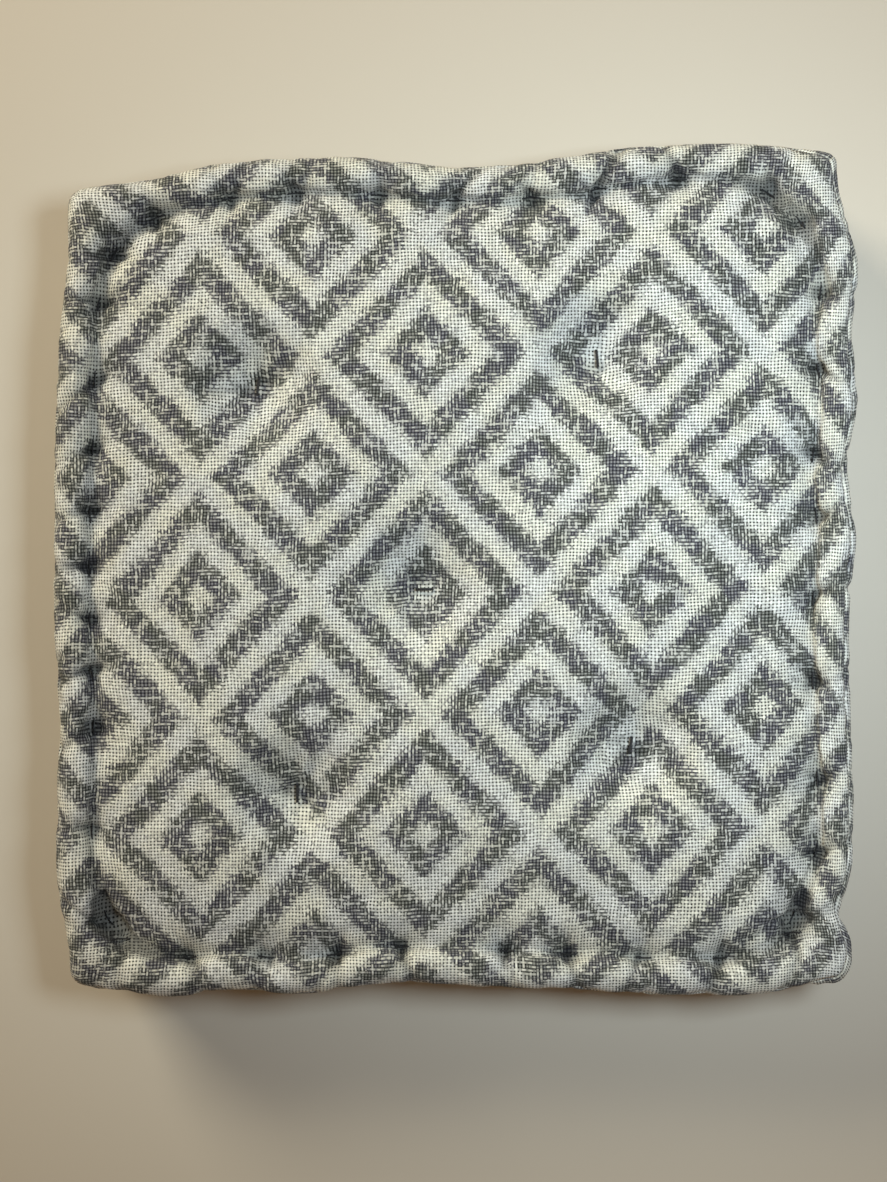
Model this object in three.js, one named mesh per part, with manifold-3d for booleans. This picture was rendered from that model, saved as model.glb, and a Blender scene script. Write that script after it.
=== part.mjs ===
// A floor cushion with hand-rolled edges, tufted through at five points.
//
// Units are millimetres. +X is to the right, +Y to the back and +Z up. The origin is on the
// floor, under the middle of the cushion.
//
// Every soft piece is laid out from the same two things: an outline that is a rounded
// rectangle, and a section through the edge that is a roll above, a roll below and a band of
// boxing between them. `inset` is always a distance inwards from the widest outline.

import * as THREE from 'three';
import { mergeVertices } from 'three/addons/utils/BufferGeometryUtils.js';
import Module from 'manifold-3d';

const wasm = await Module();
wasm.setup();

// ---------------------------------------------------------------- driving dimensions

const WIDTH = 500;
const LENGTH = 528;
const ROLL_TO_ROLL = 96; // from the floor to the top of the upper roll
const ROLL_RADIUS = 13;
const CROWN_TOP = 104; // highest part of the top panel, between the tufts
const CROWN_POWER = 4; // higher is flatter in the middle and steeper at the groove
const BAND_BULGE = 3; // how far the boxing stands out between the two rolls

const CLOTH = 1.2;
const GAP = 0.4; // left between pieces that touch
const ROLL_FILLING_GAP = 1.2; // round the roll's filling, where the corners twist
const THREAD_RADIUS = 0.7;

// Places on the upper roll's section, in degrees above straight out.
const GROOVE_ANGLE = 155; // where the stitches pull the panel in, inside the roll
const SIDE_GROOVE_ANGLE = -65; // where they pull the boxing in, below the roll

const EDGE_SQUARENESS = 11; // powers of the rounded rectangle: higher is squarer
const GROOVE_SQUARENESS = 7;
const CORNER_CROWDING = 0.15; // how far the mesh columns are moved towards the corners

const TUFT_DEPTH = 18; // below the crown
const TUFT_RADIUS = 62;
const UNDER_TUFT_DEPTH = 12; // above the floor
const UNDER_TUFT_RADIUS = 45;
const TUFT_STITCH = 10; // length of the stitch that shows
const STITCH_LIFT = 4; // from the cloth at a tuft to the middle of the straight stitch over it
const KNOT_RADIUS = 2.4;

// Name, place and direction of the stitch (0 along X, 90 along Y).
const TUFTS = [
  { name: 'centre', x: -19, y: -8, turn: 0 },
  { name: 'back_left', x: -124, y: 119, turn: 84 },
  { name: 'back_right', x: 90, y: 137, turn: 96 },
  { name: 'front_left', x: -99, y: -137, turn: 90 },
  { name: 'front_right', x: 112, y: -107, turn: 80 },
];

// Mesh density: columns across the cushion, steps round the roll from its groove to the seam
// and from there to the side groove, rows on the band of boxing between the rolls.
const COLUMNS = 20;
const PANEL_STEPS = 3;
const BOXING_STEPS = 2;
const BAND_ROWS = 2;
const THREAD_SIDES = 6;
const THREAD_STEP = 2; // columns between two points of an edge thread, and from it to a corner
const BEND_STEPS = 2; // on each of the four bends of a tuft's tie
const KNOT_COLUMNS = 8;
const KNOT_ROWS = 6;

// ---------------------------------------------------------------- derived dimensions

const MID_HEIGHT = ROLL_TO_ROLL / 2;
const ROLL_CENTRE_Z = ROLL_TO_ROLL - ROLL_RADIUS;
const UNDER_CLOTH = CLOTH + GAP;
const TUNNEL_RADIUS = THREAD_RADIUS + GAP;
const LOWER_FACE = 5; // a box geometry's group for the face that looks down
const INDICES_PER_SQUARE = 6;
const TORUS_RADIUS = 2; // of the plain torus that a closed tube is bent from
const GRID_TOLERANCE = 1e-6;
const MERGE_TOLERANCE = 1e-4;
const FIELD_COLUMNS = COLUMNS - 2 * PANEL_STEPS;
const FIELD_SHARE = FIELD_COLUMNS / COLUMNS;
const BOXING_ROWS = BAND_ROWS + 2 * BOXING_STEPS;
const BAND_SHARE = BAND_ROWS / BOXING_ROWS;
const ROLL_STEP = (GROOVE_ANGLE - SIDE_GROOVE_ANGLE) / (PANEL_STEPS + BOXING_STEPS);
const SEAM_ANGLE = GROOVE_ANGLE - PANEL_STEPS * ROLL_STEP;
const SEAM_GAP_ANGLE = THREE.MathUtils.radToDeg(GAP / ROLL_RADIUS);

const GROOVE = rollPoint(GROOVE_ANGLE, 0);
const SIDE_GROOVE = rollPoint(SIDE_GROOVE_ANGLE, 0);
const CROWN_RISE = CROWN_TOP - GROOVE.z;
const CELL = (WIDTH - 2 * GROOVE.inset) / FIELD_COLUMNS;
const TUFT_GRID_POINTS = TUFTS.map(nearestGridPoint);

// ---------------------------------------------------------------- materials

function fabric(color) {
  return new THREE.MeshStandardMaterial({ color, roughness: 0.95, metalness: 0 });
}

const printedCotton = fabric(0xa9a9a2);
const boxingCotton = fabric(0x8f9296);
const wadding = fabric(0xe9e2d0);
const thread = new THREE.MeshStandardMaterial({ color: 0x15151a, roughness: 0.7, metalness: 0 });

// ---------------------------------------------------------------- section and outline

// A point of the upper roll's section, `depth` under its surface.
function rollPoint(angle, depth) {
  const radians = THREE.MathUtils.degToRad(angle);
  const radius = ROLL_RADIUS - depth;
  return {
    inset: ROLL_RADIUS - radius * Math.cos(radians),
    z: ROLL_CENTRE_Z + radius * Math.sin(radians),
  };
}

// A point of the boxing's section: h is 1 at the upper seam, 0 half way up, -1 at the lower.
function boxingPoint(h, depth) {
  const away = Math.abs(h);
  if (away <= BAND_SHARE) {
    const across = h / BAND_SHARE;
    const bulge = BAND_BULGE * (1 - across * across);
    return {
      inset: SIDE_GROOVE.inset - bulge + depth,
      z: MID_HEIGHT + across * (SIDE_GROOVE.z - MID_HEIGHT),
    };
  }
  const share = (away - BAND_SHARE) / (1 - BAND_SHARE);
  const angle = THREE.MathUtils.lerp(SIDE_GROOVE_ANGLE, SEAM_ANGLE - SEAM_GAP_ANGLE, share);
  const point = rollPoint(angle, depth);
  return { inset: point.inset, z: h > 0 ? point.z : ROLL_TO_ROLL - point.z };
}

// The outline at an inset. (qx, qy) is on the border of the square from -1 to 1.
function outlinePoint(qx, qy, inset) {
  const x = qx + CORNER_CROWDING * Math.sin(Math.PI * qx);
  const y = qy + CORNER_CROWDING * Math.sin(Math.PI * qy);
  const share = Math.min(inset / GROOVE.inset, 1);
  const power = THREE.MathUtils.lerp(EDGE_SQUARENESS, GROOVE_SQUARENESS, share);
  const reach = (Math.abs(x) ** power + Math.abs(y) ** power) ** (1 / power);
  return new THREE.Vector2(((WIDTH / 2 - inset) * x) / reach, ((LENGTH / 2 - inset) * y) / reach);
}

// The border of that square, from one front corner round to it again as turn goes from 0 to 1.
function squareBorder(turn) {
  const side = Math.floor(turn * 4) % 4;
  const along = 2 * (turn * 4 - Math.floor(turn * 4)) - 1;
  const sides = [[along, -1], [1, along], [-along, 1], [-1, -along]];
  return sides[side];
}

// ---------------------------------------------------------------- the field inside the groove

// A place in the field before the tufts are taken into account, for (u, v) in the square.
function gridPoint(u, v) {
  const reach = Math.max(Math.abs(u), Math.abs(v));
  if (reach === 0) return new THREE.Vector2(0, 0);
  return outlinePoint(u / reach, v / reach, GROOVE.inset).multiplyScalar(reach);
}

// The point of the mesh's grid that is nearest to a tuft.
function nearestGridPoint(tuft) {
  const target = new THREE.Vector2(tuft.x, tuft.y);
  let nearest = gridPoint(0, 0);
  for (let column = 0; column <= FIELD_COLUMNS; column += 1) {
    for (let row = 0; row <= FIELD_COLUMNS; row += 1) {
      const point = gridPoint((2 * column) / FIELD_COLUMNS - 1, (2 * row) / FIELD_COLUMNS - 1);
      if (point.distanceTo(target) < nearest.distanceTo(target)) nearest = point;
    }
  }
  return nearest;
}

// Moves the grid so that one of its points falls on every tuft.
function drawToTufts(point) {
  const moved = point.clone();
  TUFTS.forEach((tuft, i) => {
    const pull = Math.exp(-((point.distanceTo(TUFT_GRID_POINTS[i]) / CELL) ** 2));
    moved.x += pull * (tuft.x - TUFT_GRID_POINTS[i].x);
    moved.y += pull * (tuft.y - TUFT_GRID_POINTS[i].y);
  });
  return moved;
}

// Sum of the dimples at a point, 1 at a tuft and 0 beyond the radius.
function dimple(point, radius) {
  let sum = 0;
  for (const tuft of TUFTS) {
    const away = Math.hypot(point.x - tuft.x, point.y - tuft.y) / radius;
    if (away < 1) sum += (1 - away * away) ** 2;
  }
  return sum;
}

// A point of the field for a place (u, v) in the square. The reach is 0 in the middle of the
// field and 1 on its edge, which is the only part that depends on the edge's inset.
function fieldPoint(u, v, edgeInset) {
  const reach = Math.max(Math.abs(u), Math.abs(v));
  if (reach > 1 - GRID_TOLERANCE) return { reach: 1, point: outlinePoint(u, v, edgeInset) };
  return { reach, point: drawToTufts(gridPoint(u, v)) };
}

function crownHeight(field) {
  const dip = TUFT_DEPTH * dimple(field.point, TUFT_RADIUS);
  return GROOVE.z + CROWN_RISE * (1 - field.reach ** CROWN_POWER) - dip;
}

// Flat on the floor, but for the dimples and the last ring, which rises to the groove.
function underHeight(field) {
  if (field.reach === 1) return ROLL_TO_ROLL - GROOVE.z;
  return UNDER_TUFT_DEPTH * dimple(field.point, UNDER_TUFT_RADIUS);
}

// ---------------------------------------------------------------- building blocks

// A sheet: a box from -1 to 1, one layer thick, with its vertices moved by place(u, v, w).
function sheet(columns, rows, place) {
  const geometry = new THREE.BoxGeometry(2, 2, 2, columns, rows, 1);
  const positions = geometry.getAttribute('position');
  for (let i = 0; i < positions.count; i += 1) {
    const moved = place(positions.getX(i), positions.getY(i), positions.getZ(i));
    positions.setXYZ(i, moved.x, moved.y, moved.z);
  }
  turnLowerDiagonals(geometry);
  return geometry;
}

// A box splits the squares of its upper and lower faces along crossing diagonals. Turning the
// lower ones keeps the two sides of a thin curved sheet the same distance apart.
function turnLowerDiagonals(geometry) {
  const indices = geometry.getIndex().array;
  const lower = geometry.groups[LOWER_FACE];
  for (let i = lower.start; i < lower.start + lower.count; i += INDICES_PER_SQUARE) {
    const [a, b, d, , c] = indices.slice(i, i + INDICES_PER_SQUARE);
    indices.set([a, b, c, a, c, d], i);
  }
}

// A closed tube: a torus with its vertices moved by place(station, side), where station counts
// along the tube and side counts round its section.
function ring(stations, sides, place) {
  const geometry = new THREE.TorusGeometry(TORUS_RADIUS, 1, sides, stations);
  const positions = geometry.getAttribute('position');
  for (let i = 0; i < positions.count; i += 1) {
    const x = positions.getX(i);
    const y = positions.getY(i);
    const station = stepOfTurn(x, y, stations);
    const side = stepOfTurn(Math.hypot(x, y) - TORUS_RADIUS, positions.getZ(i), sides);
    const moved = place(station, side);
    positions.setXYZ(i, moved.x, moved.y, moved.z);
  }
  return geometry;
}

// Which of the even steps of a full turn the direction (x, y) lies on.
function stepOfTurn(x, y, steps) {
  const turn = Math.atan2(y, x) / (2 * Math.PI);
  return (Math.round(turn * steps) + steps) % steps;
}

// Joins the vertices that coincide, so that the faces close on each other.
function closed(geometry) {
  const bare = geometry.clone();
  bare.deleteAttribute('normal');
  bare.deleteAttribute('uv');
  return mergeVertices(bare, MERGE_TOLERANCE);
}

function toSolid(geometry) {
  const merged = closed(geometry);
  return new wasm.Manifold(new wasm.Mesh({
    numProp: 3,
    vertProperties: new Float32Array(merged.getAttribute('position').array),
    triVerts: new Uint32Array(merged.getIndex().array),
  }));
}

function toGeometry(solid) {
  const mesh = solid.getMesh();
  const geometry = new THREE.BufferGeometry();
  geometry.setAttribute('position', new THREE.BufferAttribute(mesh.vertProperties, 3));
  geometry.setIndex(new THREE.BufferAttribute(mesh.triVerts, 1));
  geometry.computeVertexNormals();
  return geometry;
}

// ---------------------------------------------------------------- cover

// The upper panel's surface, from the middle of the field over the roll to the seam.
function panelPoint(u, v, depth, height) {
  const reach = Math.max(Math.abs(u), Math.abs(v));
  if (reach < FIELD_SHARE + GRID_TOLERANCE) {
    const field = fieldPoint(u / FIELD_SHARE, v / FIELD_SHARE, GROOVE.inset);
    return new THREE.Vector3(field.point.x, field.point.y, height(field) - depth);
  }
  const share = (reach - FIELD_SHARE) / (1 - FIELD_SHARE);
  const section = rollPoint(THREE.MathUtils.lerp(GROOVE_ANGLE, SEAM_ANGLE, share), depth);
  const edge = outlinePoint(u / reach, v / reach, section.inset);
  return new THREE.Vector3(edge.x, edge.y, section.z);
}

function topPanel() {
  return sheet(COLUMNS, COLUMNS, (u, v, w) => panelPoint(u, v, w > 0 ? 0 : CLOTH, crownHeight));
}

// Worked out upside down, so that its roll is the upper one turned over.
function bottomPanel() {
  const turnedHeight = (field) => ROLL_TO_ROLL - underHeight(field);
  return sheet(COLUMNS, COLUMNS, (u, v, w) => {
    const point = panelPoint(u, v, w < 0 ? 0 : CLOTH, turnedHeight);
    point.z = ROLL_TO_ROLL - point.z;
    return point;
  });
}

// One strip of boxing. The quarters are 0 front, 1 right, 2 back and 3 left.
function boxingStrip(quarter) {
  const shortened = 1 - (2 * GAP) / WIDTH;
  return sheet(COLUMNS, BOXING_ROWS, (u, v, w) => {
    const [qx, qy] = squareBorder((quarter + (1 + u * shortened) / 2) / 4);
    const section = boxingPoint(v, w > 0 ? 0 : CLOTH);
    const edge = outlinePoint(qx, qy, section.inset);
    return new THREE.Vector3(edge.x, edge.y, section.z);
  });
}

// ---------------------------------------------------------------- filling

// The edge stitches cut the roll's section from groove to groove. Its filling is what lies
// outside them, so the last of its sides is the straight line between the two grooves.
function rollFilling(upper) {
  const corners = PANEL_STEPS + BOXING_STEPS + 1;
  return ring(4 * COLUMNS, corners, (station, side) => {
    const step = upper ? side : corners - 1 - side;
    const section = rollPoint(SIDE_GROOVE_ANGLE + step * ROLL_STEP, CLOTH + ROLL_FILLING_GAP);
    const [qx, qy] = squareBorder(station / (4 * COLUMNS));
    const edge = outlinePoint(qx, qy, section.inset);
    return new THREE.Vector3(edge.x, edge.y, upper ? section.z : ROLL_TO_ROLL - section.z);
  });
}

// A layer with one face under a panel and a flat face level with the boxing's groove. Its edge
// slopes from one groove to the other, behind the edge stitches.
function shapedWadding(upper) {
  const flatZ = upper ? SIDE_GROOVE.z + GAP / 2 : ROLL_TO_ROLL - SIDE_GROOVE.z - GAP / 2;
  return sheet(FIELD_COLUMNS, FIELD_COLUMNS, (u, v, w) => {
    const isFlatFace = (w > 0) !== upper;
    const groove = isFlatFace ? SIDE_GROOVE : GROOVE;
    const field = fieldPoint(u, v, groove.inset + UNDER_CLOTH);
    let z = flatZ;
    if (!isFlatFace && upper) z = crownHeight(field) - UNDER_CLOTH;
    if (!isFlatFace && !upper) z = underHeight(field) + UNDER_CLOTH;
    return new THREE.Vector3(field.point.x, field.point.y, z);
  });
}

function middleWadding() {
  const outline = new THREE.Shape();
  const flatZ = SIDE_GROOVE.z - GAP / 2;
  for (let station = 0; station < 4 * COLUMNS; station += 1) {
    const [qx, qy] = squareBorder(station / (4 * COLUMNS));
    const point = outlinePoint(qx, qy, SIDE_GROOVE.inset + UNDER_CLOTH);
    if (station === 0) outline.moveTo(point.x, point.y);
    else outline.lineTo(point.x, point.y);
  }
  const depth = 2 * (flatZ - MID_HEIGHT);
  const geometry = new THREE.ExtrudeGeometry(outline, { depth, bevelEnabled: false });
  return geometry.translate(0, 0, MID_HEIGHT - depth / 2);
}

// ---------------------------------------------------------------- thread

function turnOf(tuft) {
  return THREE.MathUtils.degToRad(tuft.turn);
}

// The tie's closed loop in its own upright plane: a stitch above, two strands, one below.
function tieLoop(tuft) {
  const place = { reach: 0, point: new THREE.Vector2(tuft.x, tuft.y) };
  const half = TUFT_STITCH / 2;
  const bend = 2 * THREAD_RADIUS;
  const top = crownHeight(place) + STITCH_LIFT;
  const bottom = underHeight(place) - STITCH_LIFT;
  const loop = new THREE.Shape();
  loop.absarc(half - bend, bottom + bend, bend, -Math.PI / 2, 0);
  loop.absarc(half - bend, top - bend, bend, 0, Math.PI / 2);
  loop.absarc(bend - half, top - bend, bend, Math.PI / 2, Math.PI);
  loop.absarc(bend - half, bottom + bend, bend, Math.PI, 1.5 * Math.PI);
  return loop.getPoints(BEND_STEPS);
}

function tieTube(tuft, radius) {
  const points = tieLoop(tuft);
  const loopAxis = new THREE.Vector3(Math.sin(turnOf(tuft)), -Math.cos(turnOf(tuft)), 0);
  return ring(points.length, THREAD_SIDES, (station, side) => {
    const before = points[(station + points.length - 1) % points.length];
    const after = points[(station + 1) % points.length];
    const ahead = after.clone().sub(before).normalize();
    const around = (side * 2 * Math.PI) / THREAD_SIDES;
    const outwards = radius * Math.cos(around);
    const along = points[station].x + outwards * ahead.y;
    const z = points[station].y - outwards * ahead.x;
    return new THREE.Vector3(along * Math.cos(turnOf(tuft)), along * Math.sin(turnOf(tuft)), z)
      .addScaledVector(loopAxis, radius * Math.sin(around))
      .add(new THREE.Vector3(tuft.x, tuft.y, 0));
  });
}

function tuftTie(tuft) {
  const lowest = Math.min(...tieLoop(tuft).map((point) => point.y));
  const knot = new THREE.SphereGeometry(KNOT_RADIUS, KNOT_COLUMNS, KNOT_ROWS);
  knot.translate(tuft.x, tuft.y, lowest - THREAD_RADIUS);
  return toGeometry(toSolid(tieTube(tuft, THREAD_RADIUS)).add(toSolid(knot)));
}

// The edge stitches of one side, as one thread lying in the panel's groove.
function edgeThread(quarter, upper) {
  const points = [];
  const lift = CLOTH + THREAD_RADIUS;
  for (let station = THREAD_STEP; station <= COLUMNS - THREAD_STEP; station += THREAD_STEP) {
    const [qx, qy] = squareBorder((quarter + station / COLUMNS) / 4);
    const edge = outlinePoint(qx, qy, GROOVE.inset);
    const z = GROOVE.z + lift;
    points.push(new THREE.Vector3(edge.x, edge.y, upper ? z : ROLL_TO_ROLL - z));
  }
  const circle = new THREE.EllipseCurve(0, 0, THREAD_RADIUS, THREAD_RADIUS);
  const section = new THREE.Shape(circle.getPoints(THREAD_SIDES));
  const extrudePath = new THREE.CatmullRomCurve3(points);
  return new THREE.ExtrudeGeometry(section, { steps: points.length - 1, extrudePath });
}

// ---------------------------------------------------------------- assembly

const cushion = new THREE.Group();

function addPiece(name, geometry, material) {
  const piece = new THREE.Mesh(geometry, material);
  piece.name = name;
  cushion.add(piece);
}

const tunnels = TUFTS.map((tuft) => toSolid(tieTube(tuft, TUNNEL_RADIUS)));

// A piece that the ties pass through.
function pierced(geometry) {
  return toGeometry(tunnels.reduce((solid, tunnel) => solid.subtract(tunnel), toSolid(geometry)));
}

addPiece('top_panel', pierced(topPanel()), printedCotton);
addPiece('bottom_panel', pierced(bottomPanel()), printedCotton);
['front', 'right', 'back', 'left'].forEach((side, quarter) => {
  addPiece(`${side}_boxing`, boxingStrip(quarter), boxingCotton);
  addPiece(`top_${side}_edge_thread`, edgeThread(quarter, true), thread);
  addPiece(`bottom_${side}_edge_thread`, edgeThread(quarter, false), thread);
});

addPiece('upper_wadding', pierced(shapedWadding(true)), wadding);
addPiece('middle_wadding', pierced(middleWadding()), wadding);
addPiece('lower_wadding', pierced(shapedWadding(false)), wadding);
addPiece('upper_roll_filling', rollFilling(true), wadding);
addPiece('lower_roll_filling', rollFilling(false), wadding);

for (const tuft of TUFTS) {
  addPiece(`${tuft.name}_tuft_tie`, tuftTie(tuft), thread);
}

export default cushion;
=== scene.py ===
import math
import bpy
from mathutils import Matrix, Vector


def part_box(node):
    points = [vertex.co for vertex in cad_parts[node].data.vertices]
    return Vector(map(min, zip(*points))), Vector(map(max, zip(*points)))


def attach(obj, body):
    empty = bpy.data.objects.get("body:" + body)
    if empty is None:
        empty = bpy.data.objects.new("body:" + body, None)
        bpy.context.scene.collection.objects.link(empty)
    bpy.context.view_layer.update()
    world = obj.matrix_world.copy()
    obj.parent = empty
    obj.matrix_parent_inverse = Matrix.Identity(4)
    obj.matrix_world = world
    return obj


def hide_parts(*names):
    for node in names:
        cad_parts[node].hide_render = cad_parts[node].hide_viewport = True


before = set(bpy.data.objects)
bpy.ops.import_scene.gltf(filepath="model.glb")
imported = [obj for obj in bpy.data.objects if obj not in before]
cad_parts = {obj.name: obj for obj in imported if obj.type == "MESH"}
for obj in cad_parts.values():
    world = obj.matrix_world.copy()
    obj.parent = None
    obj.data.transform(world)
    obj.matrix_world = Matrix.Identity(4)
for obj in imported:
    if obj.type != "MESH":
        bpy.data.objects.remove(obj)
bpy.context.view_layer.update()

from types import SimpleNamespace

import bpy
import numpy as np
from mathutils import Vector, noise

# A tufted floor cushion with hand-rolled edges. Its cover is laid out on the CAD outline, sewn
# down with pins at every stitch and blown up against its flat pattern by Blender's cloth solver.
# Metres throughout, +X right, +Y back, +Z up, origin on the floor under the middle.

# ------------ sizes from the frame

panel_low, panel_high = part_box("top_panel")

WIDTH = panel_high.x - panel_low.x
LENGTH = panel_high.y - panel_low.y
CROWN_TOP = panel_high.z

# ------------ sizes of the cloth

ROLL_RADIUS = 0.013
ROLL_TO_ROLL = 0.096  # floor to the top of the upper roll
GROOVE_ANGLE = math.radians(155)  # on the roll's section, above straight out
GROOVE_INSET = ROLL_RADIUS * (1 - math.cos(GROOVE_ANGLE))
SIDE_GROOVE_ANGLE = math.radians(-65)
SEAM_ANGLE = math.radians(12)
RIGHT_SEAM_LIFT = math.radians(35)  # the seam sits higher on the right-hand roll
RIGHT_ROLL_RANGE = (0.8, 1)  # share of the way out over which it rises

PANEL_WIDTH = 0.540  # flat, from seam to seam
PANEL_LENGTH = 0.569
BOXING_HEIGHT = 0.090
PANEL_ROLL = 0.035  # cloth between the seam and the groove
BOXING_ROLL = 0.020
CLOTH_THICKNESS = 0.0009
SEAM_DEPTH = 0.0003  # how far a piece's edge is sunk into the seam
SPACING = 0.005  # of the cloth's mesh

# Powers of the outline at three heights: the higher, the squarer its corners.
EDGE_SQUARENESS = 40
GROOVE_SQUARENESS = 12
FIELD_SQUARENESS = 60
FIELD_EASE = 0.35  # share of the way to the middle over which the groove's outline squares up
CROWN_POWER = 5  # of the top panel's rise from the groove
FLOOR_SHARE = 0.15  # share of the way to the middle where the bottom panel reaches the floor
BAND_BULGE = 0.004

TUFT_TOP = 0.0875  # height of the stitch on top
TUFT_UNDER = 0.013
DIMPLE_RADIUS = 0.046
UNDER_DIMPLE_RADIUS = 0.045
DIMPLE_POWER = 1.6
STITCH_LENGTH = 0.010
STITCH_PULL = 0.006  # how far an edge stitch pulls the groove down
CORNER_EASE = 0.4  # share of it for the stitches beside a corner
CORNER_RANGE = (0.04, 0.06)  # distance from the corner over which the share grows to 1
GATHER = 0.25  # how much of its length a stitch draws up
SLACK_RISE = 0.0025  # of the groove between the stitches
SLACK_RANGE = (0.006, 0.022)  # distance from a stitch over which it rises
SLACK_WIDTH = 0.009
THREAD_RADIUS = 0.0006

# Direction of each tuft's stitch, in degrees from +X.
TUFT_TURNS = {
    "centre": 0,
    "back_left": 84,
    "back_right": 96,
    "front_left": 90,
    "front_right": 80,
}

# The sides in their order round the seams: the axis that each one faces along, and which way.
SIDES = {"front": (1, -1), "right": (0, 1), "back": (1, 1), "left": (0, -1)}

# Where the edge stitches are: along X for the front and back, along Y for the two others.
EDGE_STITCHES = {
    "front": [-0.206, -0.168, -0.121, -0.077, -0.032, 0.032, 0.073, 0.118, 0.168, 0.212],
    "right": [-0.215, -0.172, -0.127, -0.069, -0.014, 0.037, 0.077, 0.131, 0.178, 0.222],
    "back": [-0.186, -0.141, -0.099, -0.047, 0, 0.048, 0.092, 0.142, 0.196],
    "left": [-0.215, -0.160, -0.096, -0.064, -0.030, 0.005, 0.036, 0.079, 0.122, 0.171, 0.204],
}

# How far the hand-made edge stands out from the true outline: (place along the side, offset).
EDGE_OFFSETS = {
    "front": [(-0.25, -0.006), (-0.174, 0.001), (-0.148, -0.002), (-0.098, 0.001), (-0.047, -0.006),
              (0.03, -0.004), (0.079, -0.002), (0.143, 0.001), (0.200, -0.001), (0.228, -0.007),
              (0.25, -0.006)],
    "right": [(-0.264, -0.001), (-0.24, 0.001), (-0.217, -0.005), (-0.191, 0.001), (-0.14, 0.003),
              (-0.09, 0.001), (-0.039, -0.001), (0.037, 0.002), (0.062, -0.001), (0.113, 0.005),
              (0.150, 0.001), (0.189, 0.006), (0.215, -0.001), (0.241, -0.009), (0.264, -0.007)],
    "back": [(-0.25, -0.021), (-0.199, -0.012), (-0.148, -0.003), (-0.085, 0.001), (0.016, -0.004),
             (0.079, 0.001), (0.105, 0.006), (0.155, 0.010), (0.206, 0.008), (0.232, 0.004),
             (0.25, 0.005)],
    "left": [(-0.264, -0.009), (-0.240, -0.008), (-0.216, -0.002), (-0.09, 0.001), (-0.014, 0.004),
             (0.1, 0.001), (0.189, -0.002), (0.24, -0.008), (0.264, -0.010)],
}
OFFSET_RANGE = (0.45, 0.9)  # share of the way out over which the offset sets in

# How far each corner is drawn out: (right or left, back or front, reach along X, along Y).
CORNER_TIPS = ((-1, 1, 0.011, 0.002), (-1, -1, 0.006, 0.002), (1, 1, 0.002, 0.002), (1, -1, 0, 0.002))
CORNER_SIZE = 0.035


def tuft_places():
    """Name, place and stitch direction of every tuft, from the CAD ties."""
    places = []
    for name, turn in TUFT_TURNS.items():
        low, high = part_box(f"{name}_tuft_tie")
        angle = math.radians(turn)
        places.append(SimpleNamespace(
            name=name,
            x=(low.x + high.x) / 2,
            y=(low.y + high.y) / 2,
            along=np.array([math.cos(angle), math.sin(angle)]),
        ))
    return places


TUFTS = tuft_places()

# ------------ camera, light and floor

EYE_HEIGHT = 1.25
EYE_OFFSET = (-0.007, -0.0095)
LENS = 56.4
FILM_WIDTH = 36
FLOOR_HALF = 4
FLOOR_DROP = 0.0003  # keeps the floor clear of the cloth that lies on it
FLOOR_COLOUR = (0.66, 0.60, 0.52, 1)
ROOM_COLOUR = (1.0, 0.64, 0.36, 1)
ROOM_STRENGTH = 0.14


def make_camera():
    camera = bpy.data.objects.new("camera", bpy.data.cameras.new("camera"))
    bpy.context.scene.collection.objects.link(camera)
    camera.location = (*EYE_OFFSET, EYE_HEIGHT)
    camera.data.lens = LENS
    camera.data.sensor_width = FILM_WIDTH
    bpy.context.scene.camera = camera


def make_light(name, place, aim, size, power, colour, spread):
    light = bpy.data.lights.new(name, "AREA")
    light.size = size
    light.energy = power
    light.color = colour
    light.spread = math.radians(spread)
    lamp = bpy.data.objects.new(name, light)
    lamp.location = place
    lamp.rotation_euler = (Vector(aim) - Vector(place)).to_track_quat("-Z", "Y").to_euler()
    lamp.visible_camera = False
    bpy.context.scene.collection.objects.link(lamp)


def make_lights():
    make_light("lamp", place=(0.34, 0.10, 1.2), aim=(0.20, 0.08, 0), size=0.25, power=1.85,
               colour=(0.77, 0.93, 1.0), spread=68)
    make_light("window", place=(-1.42, 1.42, 1.31), aim=(0, 0, 0), size=0.9, power=38,
               colour=(1.0, 0.94, 0.74), spread=180)
    world = bpy.data.worlds.new("studio")
    world.use_nodes = True
    background = world.node_tree.nodes["Background"]
    background.inputs["Color"].default_value = ROOM_COLOUR
    background.inputs["Strength"].default_value = ROOM_STRENGTH
    bpy.context.scene.world = world


def make_floor():
    mesh = bpy.data.meshes.new("floor")
    corners = [(x * FLOOR_HALF, y * FLOOR_HALF, 0) for x, y in ((-1, -1), (1, -1), (1, 1), (-1, 1))]
    mesh.from_pydata(corners, [], [(0, 1, 2, 3)])
    floor = bpy.data.objects.new("floor", mesh)
    floor.location.z = -FLOOR_DROP
    bpy.context.scene.collection.objects.link(floor)
    material = bpy.data.materials.new("pale_floor")
    material.use_nodes = True
    shader = material.node_tree.nodes["Principled BSDF"]
    shader.inputs["Base Color"].default_value = FLOOR_COLOUR
    shader.inputs["Roughness"].default_value = 0.8
    mesh.materials.append(material)


make_camera()
make_lights()
make_floor()
bpy.context.scene.view_settings.view_transform = "Standard"

# ------------ layout of the cover


def smooth_step(low, high, value):
    share = np.clip((value - low) / (high - low), 0, 1)
    return share * share * (3 - 2 * share)


def blend(a, b, share):
    return a + (b - a) * share


def roll_section(angle):
    """Inset from the widest outline and height of a point on the upper roll."""
    inset = ROLL_RADIUS * (1 - np.cos(angle))
    height = ROLL_TO_ROLL - ROLL_RADIUS + ROLL_RADIUS * np.sin(angle)
    return inset, height


def rounded_reach(x, y, power):
    """What divides a point (x, y) of a square's border to round the square's corners off."""
    return (np.abs(x) ** power + np.abs(y) ** power) ** (1 / power)


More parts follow.
